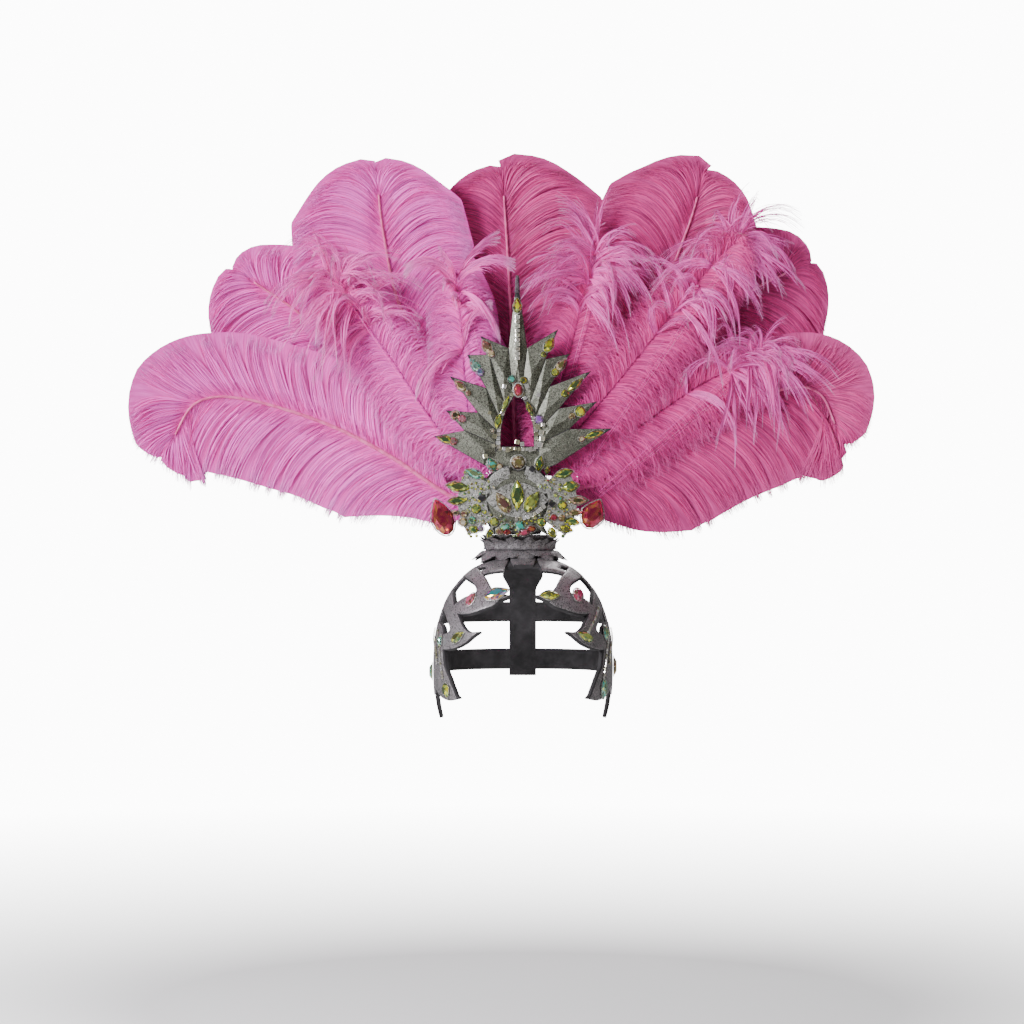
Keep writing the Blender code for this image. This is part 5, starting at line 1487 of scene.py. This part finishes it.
# Place from the rosette's middle and size
BLACK_SQUARES = ((-0.0335, 0.0030, 0.0062), (0.0325, -0.0025, 0.0056), (0.0140, 0.0300, 0.0050))


def petal_level(radius, reach=0.072):
    """The front of the petals' ridges at a distance from the rosette's middle."""
    root = rosette_back - PETAL_THICK - PETAL_RIDGE
    tip = rosette_back - PETAL_THICK + PETAL_TIP_BACK
    share = min(max((radius - DISC_RADIUS) / (reach - DISC_RADIUS), 0.0), 1.0)
    return root + (tip - root) * share


def add_field_stone(shape, kind, colour, place, way, length, width, seed):
    """Adds one seated stone of a field, laid to the slope of the petals."""
    x, z = place
    radius = math.hypot(x, z)
    fall = (petal_level(radius + 0.002) - petal_level(radius)) / 0.002
    around = Vector((x, 0.0, z)).normalized()
    out = (OUTWARD + around * fall).normalized()
    spot = Vector((CREST_X + x, petal_level(radius) - BACKING - GLUE_GAP, ROSETTE_Z + z))
    add_group_stone(shape, kind, colour, length, width, FIELD_STONE_TALL, seed, 10,
                    facing_turn(spot, out, (way[0], 0.0, way[1])), 0.0006, 0.0007)


def field_backing(shape, side):
    """A thin curved backing in fans from the disc out under the stones."""
    angles = np.linspace(-36, 34, 19) if side > 0 else np.linspace(148, 216, 19)
    radii = np.linspace(DISC_RADIUS + 0.0020, FIELD_OUT, 7)
    front, back = [[[shape.verts.new(on_rosette(radius, degrees, petal_level(radius) - GLUE_GAP - lift))
                     for radius in radii] for degrees in angles] for lift in (BACKING, 0.0)]
    for row in range(len(angles) - 1):
        for column in range(len(radii) - 1):
            ring = ((row, column), (row, column + 1), (row + 1, column + 1), (row + 1, column))
            shape.faces.new([front[a][b] for a, b in ring]).material_index = 1
            shape.faces.new([back[a][b] for a, b in ring[::-1]])
    last, end = len(angles) - 1, len(radii) - 1
    rim = [(0, b) for b in range(end)] + [(a, end) for a in range(last)]
    rim += [(last, b) for b in range(end, 0, -1)] + [(a, 0) for a in range(last, 0, -1)]
    for (a, b), (c, d) in zip(rim, rim[1:] + rim[:1]):
        shape.faces.new((front[a][b], back[a][b], back[c][d], front[c][d]))


def build_field(label, side):
    """One side's field: its backing and its larger stones."""
    shape = bmesh.new()
    field_backing(shape, side)
    for number, stone in enumerate(FIELD_STONES[label]):
        add_field_stone(shape, *stone, 200 + number + side)
    stone_group(f"stone_field_{label}", shape, f"ray_stones_{label}")


def filler_settings(count, seed):
    """Small round stones thrown over the fields and under the disc, kept apart from one another."""
    dice = np.random.default_rng(seed)
    taken = [(*stone[2], 0.4 * (stone[4] + stone[5]) / 2 + 0.0005) for label in FIELD_STONES
             for stone in FIELD_STONES[label]] + [(*stone[2], 0.0042) for stone in LOWER_STONES]
    settings = []
    for _ in range(count):
        degrees = dice.uniform(145, 395)
        radius = dice.uniform(0.0245, FIELD_OUT)
        if 222 < degrees < 322:
            radius = dice.uniform(0.0200, 0.0330)
        x, z = radius * math.cos(math.radians(degrees)), radius * math.sin(math.radians(degrees))
        size = dice.choice(FILLER_SIZES)
        if abs(z) < 0.012 and radius < 0.031:
            continue
        if any(math.hypot(x - a, z - b) < near + size * 0.52 for a, b, near in taken):
            continue
        taken.append((x, z, size * 0.52))
        lift = 0.0 if radius > DISC_RADIUS else DISC_STEP
        place = (CREST_X + x, petal_level(radius) - BACKING - lift, ROSETTE_Z + z)
        turn = facing_turn(place, OUTWARD, (math.cos(degrees), 0.0, math.sin(degrees))).to_euler()
        settings.append((place, tuple(turn), (size, size, size * 0.55), dice.random()))
    return settings


def chaton_mesh():
    """One small round stone of unit size, cut with a table."""
    shape = bmesh.new()
    add_cut_stone(shape, "round", 1.0, 1.0, 1.0, 77, count=8)
    bmesh.ops.recalc_face_normals(shape, faces=shape.faces)
    return mesh_of("chaton", shape)


black_glass = glitter_finish("black_glass", (0.004, 0.004, 0.005), (0.035, 0.033, 0.037), 300.0, 0.0, 0.0001)
build_black_squares()
for label, side in (("left", -1), ("right", 1)):
    build_field(label, side)
lower = bmesh.new()
for number, stone in enumerate(LOWER_STONES):
    add_field_stone(lower, *stone, 240 + number)
stone_group("lower_stones", lower)
mixed_glass = stone_finish("mixed", STONE_COATS_AND_REFLECTIONS["lime"] + STONE_COATS_AND_REFLECTIONS["champagne"][:3] + STONE_COATS_AND_REFLECTIONS["ruby"][:1]
                           + STONE_COATS_AND_REFLECTIONS["aqua"][:2])
small_stones = set_on_points("small_stones", filler_settings(FILLER_TRIES, 51), chaton_mesh(), mixed_glass, 0.25, 52)
plain_piece("small_stones", small_stones, "stone")
for label, x, z, way, length in (("left", -0.0708, 0.0408, (-0.36, 0.0, 0.93), 0.036),
                                 ("right", 0.0715, 0.0440, (0.45, 0.0, 0.90), 0.029)):
    seated_stone(f"pendant_{label}", "pear", "ruby", (CREST_X + x, rosette_back - PETAL_THICK - GLUE_GAP, z),
                 (0, -1, 0), way, length, PENDANT_WIDE, PENDANT_TALL, 260, grow=0.0012)


# Feather holder: a block of black foam behind the rosette, glued to the neck's collar. The quills are pushed into
# sockets in its rounded top, so nothing of it shows from the front.

HOLDER_FOOT_HALF = 0.022
HOLDER_SOFTENED = 0.0012


def build_holder_block():
    """The block in the node's own outline, with crumbly foam skin and softened front and back edges."""
    low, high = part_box("feather_holder")
    middle = (low[0] + high[0]) / 2
    half = (high[0] - low[0]) / 2
    level = high[2] - half
    line = []
    for degrees in range(-14, 195, 4):
        angle = math.radians(degrees)
        line.append((middle + half * math.cos(angle), level + half * math.sin(angle)))
    line += [(middle - HOLDER_FOOT_HALF, low[2]), (middle + HOLDER_FOOT_HALF, low[2])]
    shape = bmesh.new()
    rings = []
    for share, inset in ((0.0, HOLDER_SOFTENED), (0.06, 0.0), (0.5, 0.0), (0.94, 0.0), (1.0, HOLDER_SOFTENED)):
        y = low[1] + (high[1] - low[1]) * share
        ring = []
        for x, z in line:
            away = Vector((x - middle, z - level))
            pulled = away * (1.0 - inset / max(away.length, 0.001))
            ring.append(shape.verts.new((middle + pulled.x, y, level + pulled.y)))
        rings.append(ring)
    bridge(shape, rings)
    shape.faces.new(rings[0])
    shape.faces.new(rings[-1])
    finished("feather_holder_block", shape, [black_foam], "black_foam", "feather_holder")


build_holder_block()


# Plumes: seven long dyed ostrich plumes in a fan and five short tufts in front of them. Each is a quill with
# soft barbs on both sides that bend over and hang in locks. The quills are set in the holder's sockets.

FAN_CENTRE = (-0.006, 0.056)
FAN_REACH = 0.350
SOCKET_START = 0.014
HOLDER_RADIUS = 0.036
QUILL_THICK = 0.0019
LAYER_FRONT = -0.0110
LAYER_PITCH = 0.0062
LAYER_SPREAD = 0.90
CURL_START = 0.43 * FAN_REACH
CURL_DEPTH = 0.055
BARB_SAG = 0.75
VANE_ROWS = 90
BARB_POINTS = 8
BEHIND_CREST = -0.0135
QUILL_FORWARD = 0.0012
VANE_SECTIONS = (
    {"along": 0.06, "reach": 0.16, "leave": 32, "arrive": 50},
    {"along": 0.10, "reach": 0.34, "leave": 36, "arrive": 58},
    {"along": 0.15, "reach": 0.50, "leave": 40, "arrive": 64},
    {"along": 0.26, "reach": 0.96, "leave": 44, "arrive": 74},
    {"along": 0.50, "reach": 1.00, "leave": 46, "arrive": 78},
    {"along": 0.70, "reach": 1.00, "leave": 44, "arrive": 80},
    {"along": 0.86, "reach": 0.95, "leave": 40, "arrive": 80},
    {"along": 0.95, "reach": 0.66, "leave": 30, "arrive": 70},
    {"along": 0.98, "reach": 0.44, "leave": 16, "arrive": 38},
    {"along": 1.00, "reach": 0.26, "leave": 0, "arrive": -4},
)
# Layer from the front, half widths left and right of the quill walking outwards, and the quill's route as (x, z)
# from the fan's centre, as shares of the fan's reach
PLUMES = {
    "plume_centre": (5, 0.250, 0.320, ((-0.011, 0.329), (-0.020, 0.591), (-0.029, 0.745), (-0.036, 0.843))),
    "plume_mid_left": (4, 0.268, 0.185, ((-0.234, 0.169), (-0.411, 0.340), (-0.574, 0.497),
                                         (-0.722, 0.600))),
    "plume_mid_right": (4, 0.200, 0.275, ((0.200, 0.194), (0.443, 0.423), (0.620, 0.560), (0.740, 0.622))),
    "plume_high_left": (3, 0.287, 0.270, ((-0.211, 0.291), (-0.286, 0.463), (-0.331, 0.569), (-0.363, 0.737),
                                          (-0.374, 0.840))),
    "plume_high_right": (3, 0.290, 0.235, ((0.271, 0.340), (0.326, 0.443), (0.409, 0.603), (0.465, 0.745),
                                           (0.490, 0.832))),
    "plume_low_left": (2, 0.243, 0.198, ((-0.180, 0.014), (-0.346, 0.123), (-0.520, 0.211), (-0.737, 0.276),
                                         (-0.860, 0.265), (-0.925, 0.165))),
    "plume_low_right": (2, 0.166, 0.270, ((0.234, 0.051), (0.334, 0.106), (0.514, 0.214), (0.720, 0.302),
                                          (0.815, 0.290), (0.862, 0.195))),
    "tuft_left": (1, 0.126, 0.137, ((-0.209, 0.194), (-0.357, 0.411), (-0.466, 0.560), (-0.511, 0.606))),
    "tuft_top_right": (1, 0.126, 0.120, ((0.117, 0.303), (0.180, 0.546), (0.220, 0.677))),
    "tuft_low_right": (1, 0.109, 0.137, ((0.280, 0.166), (0.497, 0.314), (0.674, 0.397))),
    "tuft_inner_left": (0, 0.109, 0.114, ((-0.126, 0.220), (-0.149, 0.466), (-0.166, 0.600))),
    "tuft_far_right": (0, 0.126, 0.137, ((0.280, 0.329), (0.497, 0.600), (0.594, 0.703))),
}


def layer_depth(layer, distance):
    """How far back a layer of the fan lies at a distance from the fan's centre; the tips curl forward."""
    curl = max(distance - CURL_START, 0.0) / (FAN_REACH - CURL_START)
    spread = max(distance - HOLDER_RADIUS, 0.0) / FAN_REACH
    return LAYER_FRONT + LAYER_PITCH * (1.0 + LAYER_SPREAD * spread) * layer - CURL_DEPTH * curl ** 2


def in_fan(x, z, layer, forward=0.0):
    """A point of the fan in the part's frame, on a layer or a little in front of it."""
    return (FAN_CENTRE[0] + x, layer_depth(layer, math.hypot(x, z)) - forward, FAN_CENTRE[1] + z)


def plume_route(route):
    """The quill's route with its straight foot in the holder, as (x, z) from the fan's centre."""
    first = Vector(route[0]).normalized()
    foot = [tuple(first * SOCKET_START), tuple(first * (HOLDER_RADIUS + 0.004))]
    return smooth_route(foot + [(x * FAN_REACH, z * FAN_REACH) for x, z in route])


def barb_line(fine, lengths, share, side, half_width):
    """Points along one barb from the quill, where it bends over and sags."""
    spot, way = on_route(fine, lengths, share)
    along = [row["along"] for row in VANE_SECTIONS]
    reach, leave, arrive = [float(np.interp(share, along, [row[key] for row in VANE_SECTIONS]))
                            for key in ("reach", "leave", "arrive")]
    normal = np.array((-way[1], way[0])) * side
    step_length = half_width * reach / BARB_POINTS
    line = [spot]
    for step in range(BARB_POINTS):
        done = (step + 0.5) / BARB_POINTS
        angle = math.radians(leave + (arrive - leave) * done)
        move = math.cos(angle) * way + math.sin(angle) * normal + np.array((0.0, -BARB_SAG * done ** 2))
        spot = spot + move * (step_length / np.linalg.norm(move))
        line.append(spot)
    return np.array(line)


def charted_mesh(name, points, faces, coordinates):
    """A mesh with a UV map given by point."""
    mesh = bpy.data.meshes.new(name)
    mesh.from_pydata(points, [], faces)
    chart = mesh.uv_layers.new(name="UVMap")
    flat = [coordinates[index] for face in faces for index in face]
    chart.uv.foreach_set("vector", [value for pair in flat for value in pair])
    mesh.update()
    return mesh


def build_vane(name):
    """The open sheet that a plume's barbs lie in: one column per step along the barbs, one row per share of the
    quill, with a UV map of (0.5 +- 0.5 along the barb, along the quill)."""
    layer, left, right, route = PLUMES[name]
    fine, lengths = plume_route(route)
    start = VANE_SECTIONS[0]["along"]
    points, coordinates = [], []
    for row in range(VANE_ROWS):
        share = start + (1 - start) * row / (VANE_ROWS - 1)
        lines = {1: barb_line(fine, lengths, share, 1, left * FAN_REACH),
                 -1: barb_line(fine, lengths, share, -1, right * FAN_REACH)}
        for column in range(-BARB_POINTS, BARB_POINTS + 1):
            x, z = lines[1 if column > 0 else -1][abs(column)]
            points.append(in_fan(x, z, layer))
            coordinates.append((0.5 + 0.5 * column / BARB_POINTS, row / (VANE_ROWS - 1)))
    wide = 2 * BARB_POINTS + 1
    faces = []
    for row in range(VANE_ROWS - 1):
        for column in range(wide - 1):
            corner = row * wide + column
            faces.append((corner, corner + 1, corner + wide + 1, corner + wide))
    return charted_mesh(name, points, faces, coordinates)


def lock_line(root, heading, side, reach, sag, sway, wide):
    """Cells across one narrow lock of barbs, from its root to where it has fallen over."""
    place, line = root.copy(), []
    for step in range(BARB_POINTS + 1):
        heading = unit(heading)
        across = unit(np.cross(heading, (0.25 * side, 1.0, 0.2)))
        narrow = 0.30 + 0.70 * math.sin(math.pi * min(0.15 + step / BARB_POINTS, 1.0))
        line.append([place + across * wide * narrow * shift for shift in (-1.0, -0.33, 0.33, 1.0)])
        place = place + heading * reach / BARB_POINTS
        away = math.hypot(place[0] - FAN_CENTRE[0], place[2] - FAN_CENTRE[1])
        place[1] = max(place[1], BEHIND_CREST - 0.14 * max(away - 0.10, 0.0))
        heading = heading + np.array((sway, 0.10 * step / BARB_POINTS, -sag * (0.4 + step / BARB_POINTS)))
    return line


def lock_mesh(name, pairs):
    """The sheet of pairs of locks. Along a lock is 0.5 +- 0.5 in the UV map; each pair has its own band."""
    points, coordinates, faces = [], [], []
    for number, (one, other) in enumerate(pairs):
        columns = one[:0:-1] + other
        wide_count = len(columns)
        base = len(points)
        for row in range(4):
            for column, cells in enumerate(columns):
                points.append(tuple(cells[row]))
                coordinates.append((column / (wide_count - 1), (number + 0.002 + 0.996 * row / 3) / len(pairs)))
        for row in range(3):
            for column in range(wide_count - 1):
                corner = base + row * wide_count + column
                faces.append((corner, corner + 1, corner + wide_count + 1, corner + wide_count))
    return charted_mesh(name, points, faces, coordinates)


def build_locks(name, locks, seed):
    """A tuft's loose locks: they leave its stem in pairs, mostly near its tip, stand forward and fall over."""
    layer, left, right, route = PLUMES[name]
    fine, lengths = plume_route(route)
    dice = np.random.default_rng(seed)
    pairs = []
    for lock in range(locks):
        share = 1.0 - 0.16 * dice.uniform() if lock % 4 else dice.uniform(0.55, 1.0)
        spot, way = on_route(fine, lengths, share)
        root = np.array(in_fan(*spot, layer))
        ahead, out = np.array((way[0], 0.0, way[1])), np.array((-way[1], 0.0, way[0]))
        pair = []
        for side in (-1, 1):
            half = (left if side > 0 else right) * FAN_REACH
            reach = half * dice.uniform(0.8, 1.9)
            turn = math.radians(dice.uniform(4, 120)) * side
            heading = ahead * math.cos(turn) + out * math.sin(turn) + np.array((0.0, -dice.uniform(0.10, 0.80), 0.0))
            sag, sway = dice.uniform(0.12, 0.42), dice.uniform(-0.14, 0.14)
            pair.append(lock_line(root, heading, side, reach, sag, sway, dice.uniform(0.0016, 0.0055)))
        pairs.append(pair)
    return lock_mesh(name, pairs)


def field(tree, kind, *values, **settings):
    """The first output of a field node whose inputs are set by number."""
    return node(tree, kind, dict(enumerate(values)), **settings).outputs[0]


def vector_sum(tree, *values):
    """Vectors added up in a node tree."""
    total = values[0]
    for value in values[1:]:
        total = field(tree, "ShaderNodeVectorMath", total, value, operation="ADD")
    return total


def scaled(tree, vector, amount):
    """A vector made longer or shorter in a node tree."""
    made = node(tree, "ShaderNodeVectorMath", {0: vector, "Scale": amount}, operation="SCALE")
    return made.outputs[0]


def chance(tree, index, seed, low=0.0, high=1.0):
    """A fixed random number for each barb."""
    made = node(tree, "FunctionNodeRandomValue", {"ID": index, "Seed": seed})
    made.inputs[2].default_value = low
    made.inputs[3].default_value = high
    return made.outputs[1]


def barb_tree():
    """Barbs as flat tapered strips that follow a vane's UV map from the quill outwards. They draw together
    into locks, stand off the sheet by a random lift, and hang at their tips."""
    tree = bpy.data.node_groups.new("barbs_on_vane", "GeometryNodeTree")
    add_sockets(tree, "INPUT", Vane="Geometry", Barbs="Int", Points="Int", Width="Float", Locks="Float",
                Gather="Float", Lift="Float", Hang="Float", Shortest="Float", From="Float", Stray="Float",
                Uneven="Float", Seed="Int", Finish="Material")
    add_sockets(tree, "OUTPUT", Strips="Geometry")
    given = tree.nodes.new("NodeGroupInput").outputs
    vane = given["Vane"]

    roots = node(tree, "GeometryNodeMeshLine", {"Count": given["Barbs"]})
    index = tree.nodes.new("GeometryNodeInputIndex").outputs[0]
    keep = node(tree, "GeometryNodeCaptureAttribute", {"Geometry": roots.outputs[0]}, domain="POINT")
    keep.capture_items.new("INT", "barb")
    tree.links.new(index, keep.inputs["barb"])
    strip = node(tree, "GeometryNodeMeshGrid", {"Size X": 1.0, "Size Y": 1.0, "Vertices X": given["Points"],
                                                 "Vertices Y": 2})
    corner = tree.nodes.new("GeometryNodeInputPosition").outputs[0]
    split = node(tree, "ShaderNodeSeparateXYZ", {0: corner})
    mark = node(tree, "GeometryNodeCaptureAttribute", {"Geometry": strip.outputs[0]}, domain="POINT")
    for name, value in (("along", calc(tree, "ADD", split.outputs["X"], 0.5)),
                        ("edge", calc(tree, "MULTIPLY", split.outputs["Y"], 2.0))):
        mark.capture_items.new("FLOAT", name)
        tree.links.new(value, mark.inputs[name])
    spread = node(tree, "GeometryNodeInstanceOnPoints", {"Points": keep.outputs[0], "Instance": mark.outputs[0]})
    loose = node(tree, "GeometryNodeRealizeInstances", {"Geometry": spread.outputs[0]})
    barb, along, edge = keep.outputs["barb"], mark.outputs["along"], mark.outputs["edge"]

    def times(one, *others):
        for other in others:
            one = calc(tree, "MULTIPLY", one, other)
        return one

    def less(one, other):
        return calc(tree, "SUBTRACT", one, other)

    def plus(one, other):
        return calc(tree, "ADD", one, other)

    def power(one, other):
        return calc(tree, "POWER", one, other)

    def clamped(value, **limits):
        return node(tree, "ShaderNodeClamp", {"Value": value, **limits}).outputs[0]
    seeds = [field(tree, "FunctionNodeIntegerMath", given["Seed"], number, operation="ADD") for number in range(8)]
    side = less(times(calc(tree, "MODULO", barb, 2.0), 2.0), 1.0)
    root = calc(tree, "DIVIDE", plus(barb, chance(tree, barb, seeds[0])), given["Barbs"])
    start = times(given["From"], power(chance(tree, barb, seeds[1]), 0.8))
    end = less(1.0, times(power(chance(tree, barb, seeds[2]), 2.0), less(1.0, given["Shortest"])))
    reach = plus(start, times(less(end, start), along))

    lock = times(root, given["Locks"])
    lock = plus(lock, times(calc(tree, "SINE", times(lock, 1.7)), given["Uneven"]))
    number = calc(tree, "FLOOR", lock)
    middle = calc(tree, "DIVIDE", less(less(lock, number), 0.5), given["Locks"])
    tip = power(reach, 2.2)
    inner = clamped(times(less(1.0, root), 9.0))
    gathered = less(root, times(times(middle, tip), times(given["Gather"], inner)))
    wander = times(chance(tree, barb, seeds[3], -1.0, 1.0), tip, given["Stray"])
    row = clamped(plus(gathered, wander), Min=0.001, Max=0.999)
    column = plus(0.5, times(reach, side, 0.4995))

    def on_vane(value, shift):
        """A value of the vane at the barb's own place in the UV map, or a little further along the quill."""
        spot = node(tree, "ShaderNodeCombineXYZ", {"X": column, "Y": clamped(plus(row, shift), Min=0.0, Max=1.0)})
        chart = node(tree, "GeometryNodeInputNamedAttribute", data_type="FLOAT_VECTOR")
        chart.inputs["Name"].default_value = "UVMap"
        found = node(tree, "GeometryNodeSampleUVSurface", {0: vane}, data_type="FLOAT_VECTOR")
        tree.links.new(value, found.inputs["Value"])
        tree.links.new(chart.outputs[0], found.inputs["UV Map"])
        tree.links.new(spot.outputs[0], found.inputs["Sample UV"])
        return found.outputs[0]
    place = tree.nodes.new("GeometryNodeInputPosition").outputs[0]
    here = on_vane(place, 0.0)
    across = field(tree, "ShaderNodeVectorMath", on_vane(place, 0.012), on_vane(place, -0.012), operation="SUBTRACT")
    across = field(tree, "ShaderNodeVectorMath", across, operation="NORMALIZE")
    lock_lift = chance(tree, node(tree, "FunctionNodeFloatToInt", {0: number}).outputs[0], seeds[5], -0.5, 0.5)
    rise = plus(chance(tree, barb, seeds[4], -0.9, 1.0), times(lock_lift, side))
    lift = times(rise, calc(tree, "SINE", times(reach, 2.6)), given["Lift"])
    drop = times(power(along, 3.0), given["Hang"], chance(tree, barb, seeds[6]))
    slender = less(1.0, times(power(along, 2.0), 0.78))
    half = times(given["Width"], 0.5, slender)
    sideways = scaled(tree, across, times(half, edge))
    twist = times(half, edge, chance(tree, barb, seeds[7], -0.8, 0.8))
    off_sheet = node(tree, "ShaderNodeCombineXYZ", {"Y": less(twist, lift), "Z": times(drop, -1.0)}).outputs[0]
    placed = node(tree, "GeometryNodeSetPosition", {"Geometry": loose.outputs[0],
                                                     "Position": vector_sum(tree, here, sideways, off_sheet)})
    strips = placed.outputs[0]
    for name, value in (("tone", chance(tree, barb, seeds[2])), ("reach", reach)):
        kept = node(tree, "GeometryNodeStoreNamedAttribute", {"Geometry": strips, "Name": name}, data_type="FLOAT",
                    domain="POINT")
        tree.links.new(value, kept.inputs["Value"])
        strips = kept.outputs[0]
    soft = node(tree, "GeometryNodeSetShadeSmooth", {"Geometry": strips})
    dressed = node(tree, "GeometryNodeSetMaterial", {"Geometry": soft.outputs[0], "Material": given["Finish"]})
    tree.links.new(dressed.outputs[0], tree.nodes.new("NodeGroupOutput").inputs[0])
    return tree


def joined_mesh(name, meshes):
    """One mesh out of several, with their materials."""
    shape = bmesh.new()
    finishes = []
    for mesh in meshes:
        base = len(shape.faces)
        shape.from_mesh(mesh)
        shape.faces.ensure_lookup_table()
        for face in shape.faces[base:]:
            finish = mesh.materials[face.material_index]
            if finish not in finishes:
                finishes.append(finish)
            face.material_index = finishes.index(finish)
    made = mesh_of(name, shape)
    for finish in finishes:
        made.materials.append(finish)
    return made


def quill_mesh(name, finish):
    """The quill: a tapered eight-sided rod, thinner towards its tip, just in front of the vane."""
    layer, _, _, route = PLUMES[name]
    fine, lengths = plume_route(route)
    rows, sides = 64, 8
    shape = bmesh.new()
    rings = []
    for row in range(rows):
        share = row / (rows - 1) * 0.985
        spot, way = on_route(fine, lengths, share)
        thick = QUILL_THICK * (1.0 + 1.6 * min(max(share - 0.08, 0.0), 0.20)) * (1.0 - 0.62 * share)
        ring = []
        for side in range(sides):
            angle = 2 * math.pi * side / sides
            x, z = spot + np.array((-way[1], way[0])) * math.cos(angle) * thick
            forward = QUILL_FORWARD * min(8 * share, 1.0) + math.sin(angle) * thick
            ring.append(shape.verts.new(in_fan(x, z, layer, forward)))
        rings.append(ring)
    bridge(shape, rings)
    shape.faces.new(rings[0])
    shape.faces.new(rings[-1])
    bmesh.ops.recalc_face_normals(shape, faces=shape.faces)
    for face in shape.faces:
        face.smooth = True
    mesh = mesh_of(f"{name}_quill", shape)
    mesh.materials.append(finish)
    return mesh


def barb_finish(name, root, body, tip):
    """Dyed barbs: darker at the quill, paler at the tips, and each barb a little lighter or darker."""
    made, tree, shader = new_material(name, Roughness=0.62, Sheen_Weight=0.35, Sheen_Roughness=0.4,
                                      Subsurface_Weight=0.0)
    dye = ramp_of(tree, stored(tree, "reach"), (0.0, root), (0.30, body), (0.80, body), (1.0, tip))
    level = node(tree, "ShaderNodeMapRange", {"Value": stored(tree, "tone"), "To Min": 0.62, "To Max": 1.30})
    hue = node(tree, "ShaderNodeHueSaturation", {"Saturation": 1.0, "Value": level.outputs[0], "Color": dye})
    tree.links.new(hue.outputs[0], shader.inputs["Base Color"])
    return made


def vane_finish(name, low, high):
    """The lower barbs as one sheet: fine streaks along the barbs, and broad soft locks."""
    made, tree, shader = new_material(name, Roughness=0.7, Sheen_Weight=0.35, Sheen_Roughness=0.5)
    chart = node(tree, "ShaderNodeUVMap", uv_map="UVMap").outputs[0]
    streaks = node(tree, "ShaderNodeMapping", {"Vector": chart, "Scale": (5.0, 260.0, 1.0)}).outputs[0]
    fine = node(tree, "ShaderNodeTexNoise", {"Vector": streaks, "Scale": 1.0, "Detail": 3.0})
    locks = node(tree, "ShaderNodeMapping", {"Vector": chart, "Scale": (3.0, 26.0, 1.0)}).outputs[0]
    broad = node(tree, "ShaderNodeTexNoise", {"Vector": locks, "Scale": 1.0, "Detail": 1.0})
    mixed = calc(tree, "ADD", calc(tree, "MULTIPLY", fine.outputs["Fac"], 0.65),
                 calc(tree, "MULTIPLY", broad.outputs["Fac"], 0.35))
    tree.links.new(ramp_of(tree, mixed, (0.34, low), (0.66, high)), shader.inputs["Base Color"])
    roughen(tree, shader, fine.outputs["Fac"], 0.5, 0.0008)
    return made


def quill_finish():
    """Dyed quills: deeper pink, glossier, with pale flecks along them."""
    made, tree, shader = new_material("plume_quill", Roughness=0.38)
    place = object_place(tree)
    flecks = node(tree, "ShaderNodeTexNoise", {"Vector": place, "Scale": 160.0, "Detail": 2.0})
    dye = ramp_of(tree, flecks.outputs["Fac"], (0.30, (0.62, 0.065, 0.24)), (0.75, (0.88, 0.20, 0.44)))
    tree.links.new(dye, shader.inputs["Base Color"])
    return made


LONG_PLUME = {"Barbs": 5600, "Points": 8, "Width": 0.0009, "Locks": 15.0, "Gather": 0.50, "Lift": 0.0028,
              "Hang": 0.009, "Shortest": 0.80, "From": 0.30, "Stray": 0.006, "Uneven": 0.35}
SOFT_UNDER = {"Barbs": 2600, "Points": 8, "Width": 0.0009, "Locks": 9.0, "Gather": 0.30, "Lift": 0.0022,
              "Hang": 0.014, "Shortest": 0.35, "From": 0.06, "Stray": 0.070, "Uneven": 0.35}
LOOSE_LOCKS = {"Barbs": 1300, "Points": 8, "Width": 0.0008, "Gather": 0.45, "Lift": 0.0030,
               "Hang": 0.014, "Shortest": 0.30, "From": 0.10, "Stray": 0.004, "Uneven": 0.0}
TUFT_LOCKS = {"tuft_left": 34, "tuft_inner_left": 5, "tuft_top_right": 32, "tuft_far_right": 26, "tuft_low_right": 30}
barbs_on_vane = barb_tree()
# Painted light: the left plumes' pink is painted lighter and the right plumes' darker, as the light falls off across
# the fan.
barb_painted_lit_left = barb_finish("plume_barbs_painted_lit_left", (0.72, 0.025, 0.36), (1.00, 0.120, 0.66), (1.00, 0.26, 0.80))
barb_painted_shade_right = barb_finish("plume_barbs_painted_shade_right", (0.40, 0.010, 0.13), (0.68, 0.044, 0.27), (0.84, 0.100, 0.40))
soft_painted_lit_left = barb_finish("soft_barbs_painted_lit_left", (0.95, 0.085, 0.58), (1.00, 0.110, 0.62), (1.00, 0.28, 0.78))
soft_painted_shade_right = barb_finish("soft_barbs_painted_shade_right", (0.64, 0.030, 0.25), (0.80, 0.055, 0.34), (0.94, 0.15, 0.50))
tuft_pink = barb_finish("tuft_barbs", (0.80, 0.05, 0.40), (0.99, 0.14, 0.60), (1.00, 0.42, 0.80))
vane_painted_lit_left = vane_finish("plume_vane_painted_lit_left", (0.66, 0.025, 0.34), (1.00, 0.13, 0.66))
vane_painted_shade_right = vane_finish("plume_vane_painted_shade_right", (0.34, 0.010, 0.13), (0.68, 0.050, 0.29))
quill_pink = quill_finish()

for number, plume in enumerate(PLUMES):
    leftward = plume.endswith("left")
    vane = build_vane(plume)
    if plume.startswith("tuft"):
        locks = build_locks(plume, TUFT_LOCKS[plume], 900 + number)
        layers = [grown(vane, barbs_on_vane, {**SOFT_UNDER, "Seed": 100 * number,
                                              "Finish": soft_painted_lit_left if leftward else soft_painted_shade_right}),
                  grown(locks, barbs_on_vane, {**LOOSE_LOCKS, "Locks": float(TUFT_LOCKS[plume]),
                                               "Seed": 100 * number + 50, "Finish": tuft_pink})]
    else:
        layers = [grown(vane, barbs_on_vane, {**LONG_PLUME, "Seed": 100 * number,
                                              "Finish": barb_painted_lit_left if leftward else barb_painted_shade_right}),
                  quill_mesh(plume, quill_pink), vane]
        vane.materials.append(vane_painted_lit_left if leftward else vane_painted_shade_right)
    plain_piece(f"{plume}_feather", joined_mesh(f"{plume}_feather", layers), "pink_plume", plume)
